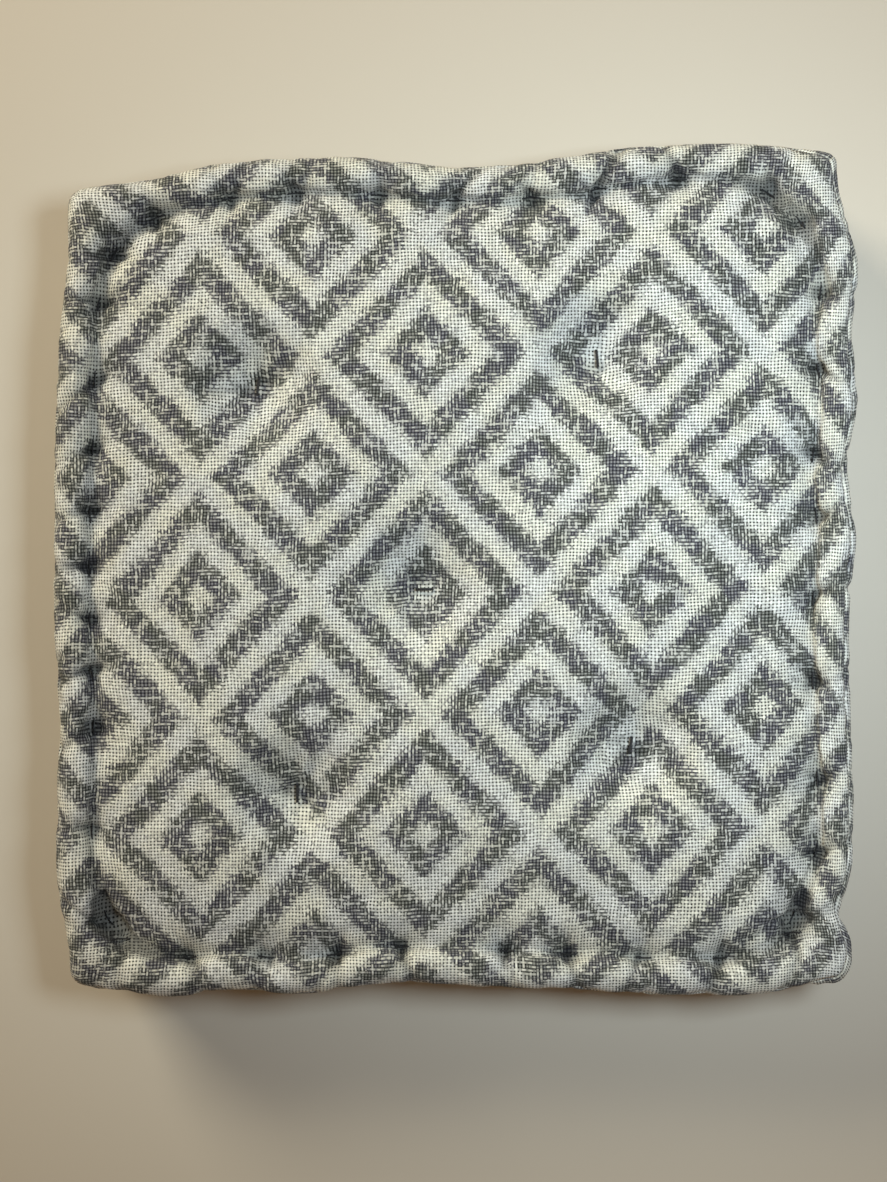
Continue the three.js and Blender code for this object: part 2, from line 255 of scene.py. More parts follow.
def outline(x, y, inset, power):
    """The rounded rectangle's point in the direction of (x, y) on the border of the unit square."""
    reach = rounded_reach(x, y, power)
    return (WIDTH / 2 - inset) * x / reach, (LENGTH / 2 - inset) * y / reach


def dimples(x, y, radius):
    """1 at a tuft and 0 beyond the radius."""
    total = np.zeros_like(x)
    for tuft in TUFTS:
        away = np.minimum(np.hypot(x - tuft.x, y - tuft.y) / radius, 1)
        total += (1 - away) ** DIMPLE_POWER * (1 + DIMPLE_POWER * away)
    return total


def seam_angle(x):
    return SEAM_ANGLE + RIGHT_SEAM_LIFT * smooth_step(*RIGHT_ROLL_RANGE, x)


NEARLY_ONE = 0.999


def border_distance(s, t):
    """Distance of the flat panel's points (s, t) from its border."""
    return np.minimum(PANEL_WIDTH / 2 - np.abs(s), PANEL_LENGTH / 2 - np.abs(t))


def from_border(s, t):
    """Distance of the flat panel's points (s, t) from its border, and the place on the border of
    the unit square that they belong to."""
    border = border_distance(s, t)
    x = s / np.maximum(PANEL_WIDTH / 2 - border, SPACING / 10)
    y = t / np.maximum(PANEL_LENGTH / 2 - border, SPACING / 10)
    on_middle_line = np.maximum(np.abs(x), np.abs(y)) < NEARLY_ONE
    return border, np.where(on_middle_line, 1, x), y


def panel_layout(s, t):
    """Where the flat panel's points (s, t) start: heights for the top and for the bottom panel."""
    border, x, y = from_border(s, t)
    on_roll = border < PANEL_ROLL
    share = np.clip(border / PANEL_ROLL, 0, 1)
    inset, roll_height = roll_section(blend(seam_angle(x), GROOVE_ANGLE, share))
    inset = np.where(on_roll, inset, GROOVE_INSET)
    into_field = np.clip((border - PANEL_ROLL) / (PANEL_WIDTH / 2 - PANEL_ROLL), 0, 1)
    power = np.where(
        on_roll,
        blend(EDGE_SQUARENESS, GROOVE_SQUARENESS, share),
        blend(GROOVE_SQUARENESS, FIELD_SQUARENESS, np.clip(into_field / FIELD_EASE, 0, 1) ** 2),
    )
    edge_x, edge_y = outline(x, y, inset, power)
    reach = rounded_reach(x, y, power)
    field_x = (WIDTH / 2 - GROOVE_INSET) * s / (PANEL_WIDTH / 2 - PANEL_ROLL) / reach
    field_y = (LENGTH / 2 - GROOVE_INSET) * t / (PANEL_LENGTH / 2 - PANEL_ROLL) / reach
    px = np.where(on_roll, edge_x, field_x)
    py = np.where(on_roll, edge_y, field_y)
    groove_height = roll_section(GROOVE_ANGLE)[1]
    crown = groove_height + (CROWN_TOP - groove_height) * (1 - (1 - into_field) ** CROWN_POWER)
    top = crown - (CROWN_TOP - TUFT_TOP) * dimples(px, py, DIMPLE_RADIUS)
    rise = (ROLL_TO_ROLL - groove_height) * np.clip(1 - into_field / FLOOR_SHARE, 0, 1)
    under = rise + TUFT_UNDER * dimples(px, py, UNDER_DIMPLE_RADIUS)
    top = np.where(on_roll, roll_height, top)
    under = np.where(on_roll, ROLL_TO_ROLL - roll_height, under)
    return np.stack([px, py, top], -1), np.stack([px, py, under], -1)


def print_places(s, t):
    """Where the flat panel's points (s, t) are on the printed cloth. The print runs on undistorted
    round the corners of the groove, where the cloth is laid in folds."""
    border, x, y = from_border(s, t)
    spread = np.array([
        (PANEL_WIDTH / 2 - PANEL_ROLL) / (WIDTH / 2 - GROOVE_INSET),
        (PANEL_LENGTH / 2 - PANEL_ROLL) / (LENGTH / 2 - GROOVE_INSET),
    ])
    place = by_hand(panel_layout(s, t)[0][..., :2])
    groove = by_hand(np.stack(outline(x, y, GROOVE_INSET, GROOVE_SQUARENESS), -1))
    inset = roll_section(blend(seam_angle(x), GROOVE_ANGLE, np.clip(border / PANEL_ROLL, 0, 1)))[0]
    wrapped = PANEL_ROLL - border - (GROOVE_INSET - inset)
    outwards = np.stack([np.sign(v) * np.abs(v) ** (GROOVE_SQUARENESS - 1) for v in (x, y)], -1)
    outwards /= np.maximum(np.linalg.norm(outwards, axis=-1), 1e-9)[..., None]
    on_roll = place + (spread - 1) * groove + wrapped[..., None] * outwards
    return np.where((border < PANEL_ROLL)[..., None], on_roll, place * spread)


def boxing_layout(x, y, drop):
    """Where the boxing starts, `drop` below the upper seam, towards (x, y) on the unit square."""
    away = np.minimum(drop, BOXING_HEIGHT - drop)
    share = np.clip(away / BOXING_ROLL, 0, 1)
    inset, height = roll_section(blend(seam_angle(x), SIDE_GROOVE_ANGLE, share))
    groove_inset, groove_height = roll_section(SIDE_GROOVE_ANGLE)
    band = np.clip((away - BOXING_ROLL) / (BOXING_HEIGHT / 2 - BOXING_ROLL), 0, 1)
    on_band = away > BOXING_ROLL
    inset = np.where(on_band, groove_inset - BAND_BULGE * np.sqrt(band), inset)
    height = np.where(on_band, blend(groove_height, ROLL_TO_ROLL / 2, band), height)
    height = np.where(drop > BOXING_HEIGHT / 2, ROLL_TO_ROLL - height, height)
    power = blend(EDGE_SQUARENESS, GROOVE_SQUARENESS, np.clip(inset / GROOVE_INSET, 0, 1))
    px, py = outline(x, y, inset, power)
    return np.stack([px, py, height], -1)


def border_ring(columns, rows):
    """Grid places round the border of a panel, side by side."""
    ring = [(i, 0) for i in range(columns)]
    ring += [(columns, j) for j in range(rows)]
    ring += [(i, rows) for i in range(columns, 0, -1)]
    ring += [(0, j) for j in range(rows, 0, -1)]
    return np.array(ring)


def index_grids(columns, rows, drops):
    """Where each vertex is in the cover's list: the two panels, and the boxing with both seams."""
    top = np.arange((columns + 1) * (rows + 1)).reshape(columns + 1, rows + 1)
    under = top + top.size
    ring = border_ring(columns, rows)
    i, j = ring.T
    between = 2 * top.size + np.arange(len(ring) * (drops - 1)).reshape(len(ring), drops - 1)
    boxing = np.concatenate([top[i, j][:, None], between, under[i, j][:, None]], 1)
    s, t = np.meshgrid(
        np.linspace(-PANEL_WIDTH / 2, PANEL_WIDTH / 2, columns + 1),
        np.linspace(-PANEL_LENGTH / 2, PANEL_LENGTH / 2, rows + 1),
        indexing="ij",
    )
    return SimpleNamespace(
        columns=columns, rows=rows, drops=drops, ring=ring, s=s, t=t, border=border_distance(s, t),
        top=top, under=under, boxing=boxing,
        drop=np.linspace(0, BOXING_HEIGHT, drops + 1),
        corners=np.cumsum([0, columns, rows, columns]),
        lengths=[columns, rows, columns, rows],
    )


def lay_out_cover():
    """The cover's mesh: where it starts, its flat pattern and its index grids."""
    cover = index_grids(
        round(PANEL_WIDTH / SPACING), round(PANEL_LENGTH / SPACING), round(BOXING_HEIGHT / SPACING)
    )
    top_start, under_start = panel_layout(cover.s, cover.t)
    i, j = cover.ring.T
    ring_s, ring_t, drop = np.broadcast_arrays(
        cover.s[i, j][:, None], cover.t[i, j][:, None], cover.drop[None, 1:-1]
    )
    boxing_start = boxing_layout(ring_s / (PANEL_WIDTH / 2), ring_t / (PANEL_LENGTH / 2), drop)
    panel = np.concatenate([print_places(cover.s, cover.t), np.zeros((*cover.s.shape, 1))], -1)
    seam = panel[i, j][:, None]
    above = np.array([0, 0, 1])
    flat = [panel + BOXING_HEIGHT * above, panel, seam + (BOXING_HEIGHT - drop)[..., None] * above]
    cover.flat = np.concatenate([a.reshape(-1, 3) for a in flat])
    cover.points = np.concatenate(
        [a.reshape(-1, 3) for a in (top_start, under_start, boxing_start)]
    )
    cover.groove = round(PANEL_ROLL / SPACING)
    cover.side_groove = round(BOXING_ROLL / SPACING)
    return cover


def halved(values):
    """Doubles the steps of a grid of points along its first axis, on a smooth curve."""
    before = np.concatenate([2 * values[:1] - values[1:2], values[:-2]])
    after = np.concatenate([values[2:], 2 * values[-1:] - values[-2:-1]])
    middle = (9 * (values[:-1] + values[1:]) - before - after) / 16
    finer = np.empty((2 * len(values) - 1, *values.shape[1:]))
    finer[::2] = values
    finer[1::2] = middle
    return finer


def refined(grid):
    return halved(halved(grid).swapaxes(0, 1)).swapaxes(0, 1)


def side_stations(cover, side):
    """A side's stations on the ring, from corner to corner."""
    quarter = list(SIDES).index(side)
    return (cover.corners[quarter] + np.arange(cover.lengths[quarter] + 1)) % len(cover.ring)


def refined_cover(cover):
    """The same cover with its mesh twice as fine."""
    finer = index_grids(2 * cover.columns, 2 * cover.rows, 2 * cover.drops)
    strips = []
    for side in SIDES:
        strip = refined(cover.points[cover.boxing[side_stations(cover, side)]])
        strips.append(strip[:-1, 1:-1].reshape(-1, 3))
    finer.points = np.concatenate([
        refined(cover.points[cover.top]).reshape(-1, 3),
        refined(cover.points[cover.under]).reshape(-1, 3),
        *strips,
    ])
    finer.groove = 2 * cover.groove
    finer.side_groove = 2 * cover.side_groove
    return finer


# Order of a face's corners on a grid that is seen from above, from below and from outside.
UPWARDS = (0, 1, 2, 3)
DOWNWARDS = (0, 3, 2, 1)
OUTWARDS = (3, 2, 1, 0)


def grid_faces(grid, order):
    corners = (grid[:-1, :-1], grid[1:, :-1], grid[1:, 1:], grid[:-1, 1:])
    return np.stack([corners[i] for i in order], -1).reshape(-1, 4)


def cover_faces(cover):
    round_strip = np.concatenate([cover.boxing, cover.boxing[:1]])
    return np.concatenate([
        grid_faces(cover.top, UPWARDS),
        grid_faces(cover.under, DOWNWARDS),
        grid_faces(round_strip, OUTWARDS),
    ])


# ------------ hand-made irregularities


def wave_through(points, place):
    """A smooth curve through a few (place, value) points."""
    xs, ys = np.array(points).T
    slopes = np.gradient(ys, xs)
    i = np.clip(np.searchsorted(xs, place) - 1, 0, len(xs) - 2)
    width = xs[i + 1] - xs[i]
    u = np.clip((place - xs[i]) / width, 0, 1)
    start = ys[i] * (1 + 2 * u) * (1 - u) ** 2 + slopes[i] * width * u * (1 - u) ** 2
    end = ys[i + 1] * (3 - 2 * u) * u ** 2 - slopes[i + 1] * width * (1 - u) * u ** 2
    return start + end


def by_hand(points):
    """Moves the true layout's points to where the hand-made edge is."""
    moved = points.copy()
    for side, (axis, sign) in SIDES.items():
        way_out = sign * points[..., axis] / ((WIDTH, LENGTH)[axis] / 2)
        offset = wave_through(EDGE_OFFSETS[side], points[..., 1 - axis])
        moved[..., axis] += sign * smooth_step(*OFFSET_RANGE, way_out) * offset
    return moved


def point_corners(points):
    """Draws the cushion's corners out sideways."""
    start = points.copy()
    for x, y, reach_x, reach_y in CORNER_TIPS:
        away = np.hypot(start[:, 0] - x * WIDTH / 2, start[:, 1] - y * LENGTH / 2)
        share = np.exp(-((away / CORNER_SIZE) ** 2))
        points[:, 0] += x * reach_x * share
        points[:, 1] += y * reach_y * share


LUMPS = ((0.07, 0.0022), (0.025, 0.0007))  # size and height
LUMP_SHIFT = Vector((7.3, 3.1, 5.7))  # in the noise, from one size of lumps to the next


def lumps(points):
    """Smooth unevenness of the filling, as a distance for every point."""
    total = 0
    for number, (size, height) in enumerate(LUMPS, start=1):
        shift = LUMP_SHIFT * number
        total = total + height * np.array([noise.noise(Vector(p) / size + shift) for p in points])
    return total


# ------------ puckers

GROOVE_CREASE = 0.0020  # depth of the crease along the groove
GROOVE_WIDTH = 0.005
# How much deeper it is towards each corner: (right or left, back or front, depth).
DEEP_CORNERS = ((1, 1, 0.0022), (-1, -1, 0.0028), (-1, 1, 0.0012), (1, -1, 0.0008))
DEEP_CORNER_RANGE = (0.11, 0.06)  # distance from the corner over which that sets in
SHOULDER = 0.0022  # how much the filling swells beside the groove
SHOULDER_PLACE = 0.022
SHOULDER_WIDTH = 0.012

PUCKER_WIDTH = 0.0022  # of a crease at its stitch
PUCKER_SPREAD = 0.08  # how much wider it grows with every unit of distance
PANEL_CREASES = 3  # at every stitch
PANEL_SLANT = (-0.6, 0.6)
PANEL_DEPTH = (0.0010, 0.0026)
PANEL_SHIFT = (-0.004, 0.004)
PANEL_REACH = 0.012
ROLL_FADE = 0.5  # share of a crease that is lost between the stitch and the seam
BOXING_CREASES = 2  # at every stitch
BOXING_SLANT = (-0.5, 0.5)
BOXING_DEPTH = (0.0008, 0.0022)
BOXING_REACH = 0.008
BOXING_SEAM_REACH = 0.03

TUFT_RAYS = 8
RAY_SWAY = (-0.35, 0.35)  # as a share of the angle between two rays
RAY_DEPTH = (0.0012, 0.0040)
RAY_LENGTH = (0.012, 0.032)
RAY_START = 0.005
RAY_WIDTH = 0.0016
RAY_SPREAD = 0.1
TUFT_DRAW = 0.005  # how much deeper the tufts are drawn in the end
DRAW_RADIUS = 0.042

LIGHTEST_CREASE = 0.0005  # depth at which a crease starts to look darker
DARKEST_CREASE = 0.0045  # depth at which hardly any light gets into it


def valley(distance, width):
    """1 on a crease's line, falling off to each side."""
    return 1 / (1 + (distance / width) ** 2) ** 1.5


def groove_creases(cover):
    """Depth of the crease along a panel's groove, less the swelling beside it."""
    inwards = cover.border - PANEL_ROLL
    groove = np.exp(-((inwards / GROOVE_WIDTH) ** 2))
    total = GROOVE_CREASE * groove
    total -= SHOULDER * np.exp(-(((inwards - SHOULDER_PLACE) / SHOULDER_WIDTH) ** 2))
    for sign_x, sign_y, deeper in DEEP_CORNERS:
        away = np.hypot(cover.s - sign_x * PANEL_WIDTH / 2, cover.t - sign_y * PANEL_LENGTH / 2)
        total += deeper * smooth_step(*DEEP_CORNER_RANGE, away) * groove
    return total


def add_stitch_creases(total, cover, level, random):
    """Creases that run inwards and over the roll from a panel's edge stitches."""
    inwards = cover.border - PANEL_ROLL
    reach = np.where(inwards < 0, 1 + ROLL_FADE * inwards / PANEL_ROLL,
                     np.exp(-np.maximum(inwards, 0) / PANEL_REACH))
    width = PUCKER_WIDTH + PUCKER_SPREAD * np.abs(inwards)
    for side, (axis, sign) in SIDES.items():
        along = (cover.s, cover.t)[1 - axis]
        from_side = (PANEL_WIDTH, PANEL_LENGTH)[axis] / 2 - sign * (cover.s, cover.t)[axis]
        near_side = np.abs(from_side - cover.border) < PANEL_ROLL
        for stitch in cover.runs[(side, level, "panel")]:
            for _ in range(PANEL_CREASES):
                slant = random.uniform(*PANEL_SLANT)
                deep = random.uniform(*PANEL_DEPTH)
                shift = random.uniform(*PANEL_SHIFT)
                line = along - along[stitch[1]] - shift - slant * inwards
                total += np.where(near_side, deep * reach * valley(line, width), 0)


def add_tuft_creases(total, place, random):
    """Creases that run out from every tuft like rays."""
    for tuft in TUFTS:
        x, y = place[..., 0] - tuft.x, place[..., 1] - tuft.y
        for ray in range(TUFT_RAYS):
            angle = (ray + random.uniform(*RAY_SWAY)) * 2 * math.pi / TUFT_RAYS
            deep = random.uniform(*RAY_DEPTH)
            length = random.uniform(*RAY_LENGTH)
            forward = x * math.cos(angle) + y * math.sin(angle)
            sideways = y * math.cos(angle) - x * math.sin(angle)
            reach = np.where(forward > 0, np.exp(-np.maximum(forward, 0) / length), 0)
            reach = reach * smooth_step(0, RAY_START, forward)
            total += deep * reach * valley(sideways, RAY_WIDTH + RAY_SPREAD * np.abs(forward))


def panel_puckers(cover, random):
    """Depth of all the creases in the two panels."""
    depth = np.zeros(len(cover.points))
    for level in ("top", "under"):
        grid = getattr(cover, level)
        total = groove_creases(cover)
        add_stitch_creases(total, cover, level, random)
        add_tuft_creases(total, cover.points[grid], random)
        depth[grid] = total
    return depth


def boxing_puckers(cover, random):
    """Depth of the creases that run up and down from the boxing's stitches."""
    depth = np.zeros(len(cover.points))
    station = np.arange(len(cover.ring))[:, None]
    drop = cover.drop[None, 1:-1]
    total = np.zeros((len(cover.ring), cover.drops - 1))
    spacing = SPACING / 2  # the mesh is twice as fine by now
    for (_, level, part), stitches in cover.runs.items():
        if part == "panel":
            continue
        below = drop if level == "top" else BOXING_HEIGHT - drop
        beyond = below - BOXING_ROLL
        reach = np.exp(-np.maximum(beyond, 0) / BOXING_REACH)
        reach = reach * np.exp(np.minimum(beyond, 0) / BOXING_SEAM_REACH)
        width = PUCKER_WIDTH + PUCKER_SPREAD * np.abs(beyond)
        for stitch in stitches:
            for _ in range(BOXING_CREASES):
                slant = random.uniform(*BOXING_SLANT)
                deep = random.uniform(*BOXING_DEPTH)
                line = (station - stitch[1][0]) * spacing - slant * beyond
                total += deep * reach * valley(line, width)
    depth[cover.boxing[:, 1:-1]] = total
    return depth


def doubled(stitches):
    """The same stitches on a mesh twice as fine."""
    return [[(2 * i, 2 * j) for i, j in stitch] for stitch in stitches]


# ------------ stitches as pins

STITCH_STEPS = (-1, 0, 1)  # a stitch holds three vertices in a row
TUFT_PULL_WIDTH = 0.012
EDGE_PULL_WIDTH = 0.008
PANEL_PULL_OUT = 0.002
BOXING_PULL_IN = 0.003
BOXING_PULL_UP = 0.001  # towards its own roll


def nearest_place(cover, grid, x, y):
    away = np.hypot(cover.points[grid, 0] - x, cover.points[grid, 1] - y)
    return np.unravel_index(np.argmin(away), grid.shape)


def pull(cover, ids, vertex, target, width):
    """Moves a vertex to the target, and those around it less and less."""
    move = np.asarray(target) - cover.points[vertex]
    away = np.sum((cover.points[ids] - cover.points[vertex]) ** 2, 1)
    cover.points[ids] += np.exp(-away / (2 * width ** 2))[:, None] * move


def pin_tufts(cover):
    """Draws the two panels together at each tuft. A stitch is the grid places that it holds."""
    stitches = {}
    for tuft in TUFTS:
        for name, height in (("top", TUFT_TOP), ("under", TUFT_UNDER)):
            grid = getattr(cover, name)
            middle = grid[nearest_place(cover, grid, tuft.x, tuft.y)]
            pull(cover, grid.reshape(-1), middle, (tuft.x, tuft.y, height), TUFT_PULL_WIDTH)
            stitch = []
            for step in STITCH_STEPS:
                place = np.array([tuft.x, tuft.y]) + step * STITCH_LENGTH / 2 * tuft.along
                at = nearest_place(cover, grid, *place)
                cover.points[grid[at]] = (*place, height)
                stitch.append(at)
            stitches[(tuft.name, name)] = [stitch]
    return stitches


def groove_line(cover, side):
    """Grid places along a side's groove, and the matching stations of the ring."""
    axis, sign = SIDES[side]
    stations = side_stations(cover, side)
    line = cover.ring[stations].copy()
    line[:, axis] = cover.groove if sign < 0 else (cover.columns, cover.rows)[axis] - cover.groove
    return line, stations


def pin_edges(cover):
    """Holds the grooves of both rolls at every edge stitch. Returns each run's stitches."""
    runs = {}
    for side, (axis, sign) in SIDES.items():
        out = np.zeros(3)
        out[axis] = sign
        line, stations = groove_line(cover, side)
        positions = cover.points[cover.top[line[:, 0], line[:, 1]], 1 - axis]
        for place in EDGE_STITCHES[side]:
            from_corner = (LENGTH, WIDTH)[axis] / 2 - abs(place)
            depth = STITCH_PULL * blend(CORNER_EASE, 1, smooth_step(*CORNER_RANGE, from_corner))
            nearest = np.argmin(np.abs(positions - place))
            k = int(np.clip(nearest, cover.groove, len(line) - 1 - cover.groove))
            for level, grid, down in (("top", cover.top, -1), ("under", cover.under, 1)):
                stitch = [tuple(line[k + step]) for step in STITCH_STEPS]
                vertex = grid[stitch[1]]
                target = cover.points[vertex] + PANEL_PULL_OUT * out + (0, 0, down * depth)
                pull(cover, grid.reshape(-1), vertex, target, EDGE_PULL_WIDTH)
                for step, at in zip(STITCH_STEPS, stitch):
                    cover.points[grid[at]] = blend(cover.points[grid[at]], target, abs(step) * GATHER)
                runs.setdefault((side, level, "panel"), []).append(stitch)
                row = cover.side_groove if level == "top" else cover.drops - cover.side_groove
                stitch = [(int(stations[k + step]), row) for step in STITCH_STEPS]
                vertex = cover.boxing[stitch[1]]
                target = cover.points[vertex] - BOXING_PULL_IN * out - (0, 0, down * BOXING_PULL_UP)
                pull(cover, cover.boxing[:, 1:-1].reshape(-1), vertex, target, EDGE_PULL_WIDTH)
                runs.setdefault((side, level, "boxing"), []).append(stitch)
    return runs


def corner_pins(cover):
    """The four corners of both seams, which the sewing keeps square."""
    last = len(cover.ring)
    stations = [(corner + step) % last for corner in cover.corners for step in STITCH_STEPS]
    return [cover.boxing[station, row] for station in stations for row in (0, -1)]


def slacken_groove(cover, runs):
    """Between the stitches the groove is shallower."""
    for level, direction in (("top", 1), ("under", -1)):
        grid = getattr(cover, level)
        ids = grid.reshape(-1)
        across = np.exp(-(((cover.border - PANEL_ROLL) / SLACK_WIDTH) ** 2)).reshape(-1)
        nearest = np.full(len(ids), LENGTH)
        for side in SIDES:
            for stitch in runs[(side, level, "panel")]:
                middle = cover.points[grid[stitch[1]], :2]
                nearest = np.minimum(nearest, np.linalg.norm(cover.points[ids, :2] - middle, axis=1))
        rise = SLACK_RISE * across * smooth_step(*SLACK_RANGE, nearest)
        cover.points[ids, 2] += direction * rise


# ------------ the cloth simulation

FRAMES = 20
SEED = 7
START_NOISE = 0.0002  # keeps the cloth from starting perfectly smooth
CLOTH_SETTINGS = {
    "quality": 6,
    "mass": 0.15,
    "tension_stiffness": 25,
    "compression_stiffness": 25,
    "shear_stiffness": 6,
    "bending_stiffness": 0.08,
    "tension_damping": 5,
    "compression_damping": 5,
    "shear_damping": 5,
    "bending_damping": 0.5,
    "air_damping": 2,
    "vertex_group_mass": "pins",
    "pin_stiffness": 1,
    "use_pressure": True,
    "uniform_pressure_force": 4,
}


def inflate(cover, pins):
    """Blows the cover up against its stitches, with its flat pattern as the rest shape."""
    mesh = bpy.data.meshes.new("cover_cloth")
    mesh.from_pydata(cover.points.tolist(), [], cover_faces(cover).tolist())
    cloth = bpy.data.objects.new("cover_cloth", mesh)
    bpy.context.scene.collection.objects.link(cloth)
    cloth.shape_key_add(name="Basis")
    flat = cloth.shape_key_add(name="flat")
    flat.data.foreach_set("co", cover.flat.astype(np.float32).ravel())
    flat.value = 0
    group = cloth.vertex_groups.new(name="pins")
    group.add(pins, 1.0, "REPLACE")
    modifier = cloth.modifiers.new("Cloth", "CLOTH")
    for name, value in CLOTH_SETTINGS.items():
        setattr(modifier.settings, name, value)
    modifier.settings.rest_shape_key = flat
    modifier.settings.effector_weights.gravity = 0
    modifier.collision_settings.use_collision = False
    modifier.point_cache.frame_start = 1
    modifier.point_cache.frame_end = FRAMES + 1
    for step in range(1, FRAMES + 1):
        bpy.context.scene.frame_set(step)
    blown = cloth.evaluated_get(bpy.context.evaluated_depsgraph_get()).data
    points = np.empty(len(cover.points) * 3, np.float32)
    blown.vertices.foreach_get("co", points)
    bpy.data.objects.remove(cloth)
    bpy.context.scene.frame_set(1)
    return points.reshape(-1, 3).astype(float)


def vertex_normals(points, faces):
    corners = points[faces]
    normals = np.cross(corners[:, 2] - corners[:, 0], corners[:, 3] - corners[:, 1])
    total = np.zeros_like(points)
    for corner in faces.T:
        np.add.at(total, corner, normals)
    return total / np.maximum(np.linalg.norm(total, axis=1), 1e-12)[:, None]


def make_cover():
    cover = lay_out_cover()
    cover.points = by_hand(cover.points)
    tufts = pin_tufts(cover)
    runs = pin_edges(cover)
    slacken_groove(cover, runs)
    pins = set(corner_pins(cover))
    for (_, name), stitches in tufts.items():
        pins |= {getattr(cover, name)[at] for stitch in stitches for at in stitch}
    for (_, level, part), stitches in runs.items():
        grid = cover.boxing if part == "boxing" else getattr(cover, level)
        pins |= {grid[at] for stitch in stitches for at in stitch}
    pins = sorted(int(pin) for pin in pins)
    random = np.random.default_rng(SEED)
    free = np.ones((len(cover.points), 1))
    free[pins] = 0
    cover.points += free * random.normal(0, START_NOISE, cover.points.shape)
    cover.points = inflate(cover, pins)
    point_corners(cover.points)
    cover = refined_cover(cover)
    cover.tufts = {key: doubled(stitches) for key, stitches in tufts.items()}
    cover.runs = {key: doubled(stitches) for key, stitches in runs.items()}
    faces = cover_faces(cover)
    normals = vertex_normals(cover.points, faces)
    creases = panel_puckers(cover, random) + boxing_puckers(cover, random)
    # Painted shade: how much darker the deep creases are coloured in the cloth's material.
    cover.shade = smooth_step(LIGHTEST_CREASE, DARKEST_CREASE, creases)
    swell = lumps(cover.points)
    swell -= creases + TUFT_DRAW * dimples(cover.points[:, 0], cover.points[:, 1], DRAW_RADIUS)
    cover.points += swell[:, None] * normals
    cover.points[:, 2] = np.maximum(cover.points[:, 2], 0)
    cover.normals = vertex_normals(cover.points, faces)
    return cover


cover = make_cover()

# ------------ node helper


class Shader:
    """Builds a material's nodes with few words."""

    def __init__(self, name):
        self.material = bpy.data.materials.new(name)
        self.material.use_nodes = True
        self.tree = self.material.node_tree
        self.surface = self.tree.nodes["Principled BSDF"]

    def node(self, kind, inputs=(), **settings):
        made = self.tree.nodes.new(kind)
        for key, value in settings.items():
            setattr(made, key, value)
        for key, value in dict(inputs).items():
            self.feed(made.inputs[key], value)
        return made

    def feed(self, socket, value):
        if isinstance(value, bpy.types.NodeSocket):
            self.tree.links.new(value, socket)
        else:
            socket.default_value = value

    def math(self, operation, *values):
        made = self.node("ShaderNodeMath", operation=operation)
        for socket, value in zip(made.inputs, values):
            self.feed(socket, value)
        return made.outputs[0]

    def line(self, value, slope, start):
        """Slope times the value, plus the start."""
        return self.math("MULTIPLY_ADD", value, slope, start)

    def times(self, a, b):
        return self.math("MULTIPLY", a, b)

    def random(self, x, y, seed):
        """A different number from 0 to 1 for every pair of whole numbers."""
        place = self.node("ShaderNodeCombineXYZ", {"X": x, "Y": y, "Z": float(seed)})
        return self.node("ShaderNodeTexWhiteNoise", {"Vector": place.outputs[0]}).outputs["Value"]

    def cloud(self, place, scale, detail=2.0):
        """Smooth noise from 0 to 1."""
        made = self.node("ShaderNodeTexNoise", {"Vector": place, "Scale": scale, "Detail": detail})
        return made.outputs["Fac"]

    def step(self, value, low, high):
        """0 at the low value, 1 at the high one, and a soft step between them."""
        made = self.node("ShaderNodeMapRange", interpolation_type="SMOOTHSTEP")
        self.feed(made.inputs["Value"], value)
        self.feed(made.inputs["From Min"], low)
        self.feed(made.inputs["From Max"], high)
        return made.outputs["Result"]

    def choose(self, share, a, b):
        """Number a where share is 0, b where it is 1."""
        made = self.node("ShaderNodeMix", data_type="FLOAT")
        self.feed(made.inputs[0], share)
        self.feed(made.inputs[2], a)
        self.feed(made.inputs[3], b)
        return made.outputs[0]

    def mix(self, share, a, b, blend_type="MIX"):
        """Colour a where share is 0, b where it is 1."""
        made = self.node("ShaderNodeMix", data_type="RGBA", blend_type=blend_type)
        self.feed(made.inputs[0], share)
        self.feed(made.inputs[6], a)
        self.feed(made.inputs[7], b)
        return made.outputs[2]

    def set(self, **values):
        for name, value in values.items():
            self.feed(self.surface.inputs[name.replace("_", " ")], value)

    def bump(self, height, distance, strength):
        made = self.node("ShaderNodeBump",
                         {"Height": height, "Distance": distance, "Strength": strength})
        self.feed(self.surface.inputs["Normal"], made.outputs["Normal"])


# ------------ materials

YARN_PITCH = 0.0022
PRINT_WIDTH = 0.147  # of one diamond, corner to corner, on the flat cloth
PRINT_LENGTH = 0.1562
PRINT_CENTRE = (-0.0195, -0.0118)
UNDER_PRINT_CENTRE = (0.031, 0.02)
BOXING_PRINT_CENTRE = (0.0, 0.05)
PRINT_SKEW = 0.016  # rise of the rows of diamonds towards the right
PRINT_RINGS = ((0.115, 0.385), (0.61, 0.885))  # dyed from and to, as shares of the diamond
CREAM = (0.85, 0.838, 0.752, 1)
COOL_CREAM = (0.82, 0.825, 0.81, 1)
DYE = (0.083, 0.082, 0.106, 1)
GREEN_DYE = (0.087, 0.093, 0.085, 1)
# Near-black painted shade, for the holes of the weave and for deep creases.
SHADE_BLACK = (0.004, 0.004, 0.004, 1)
CREASE_SHADE = 0.75
THREAD_BLACK = (0.006, 0.006, 0.008, 1)
THREAD_SHINE = (0.03, 0.03, 0.034, 1)
WADDING_DULL = (0.60, 0.55, 0.44, 1)
WADDING_PALE = (0.82, 0.79, 0.70, 1)
WADDING_HUSK = (0.45, 0.41, 0.33, 1)

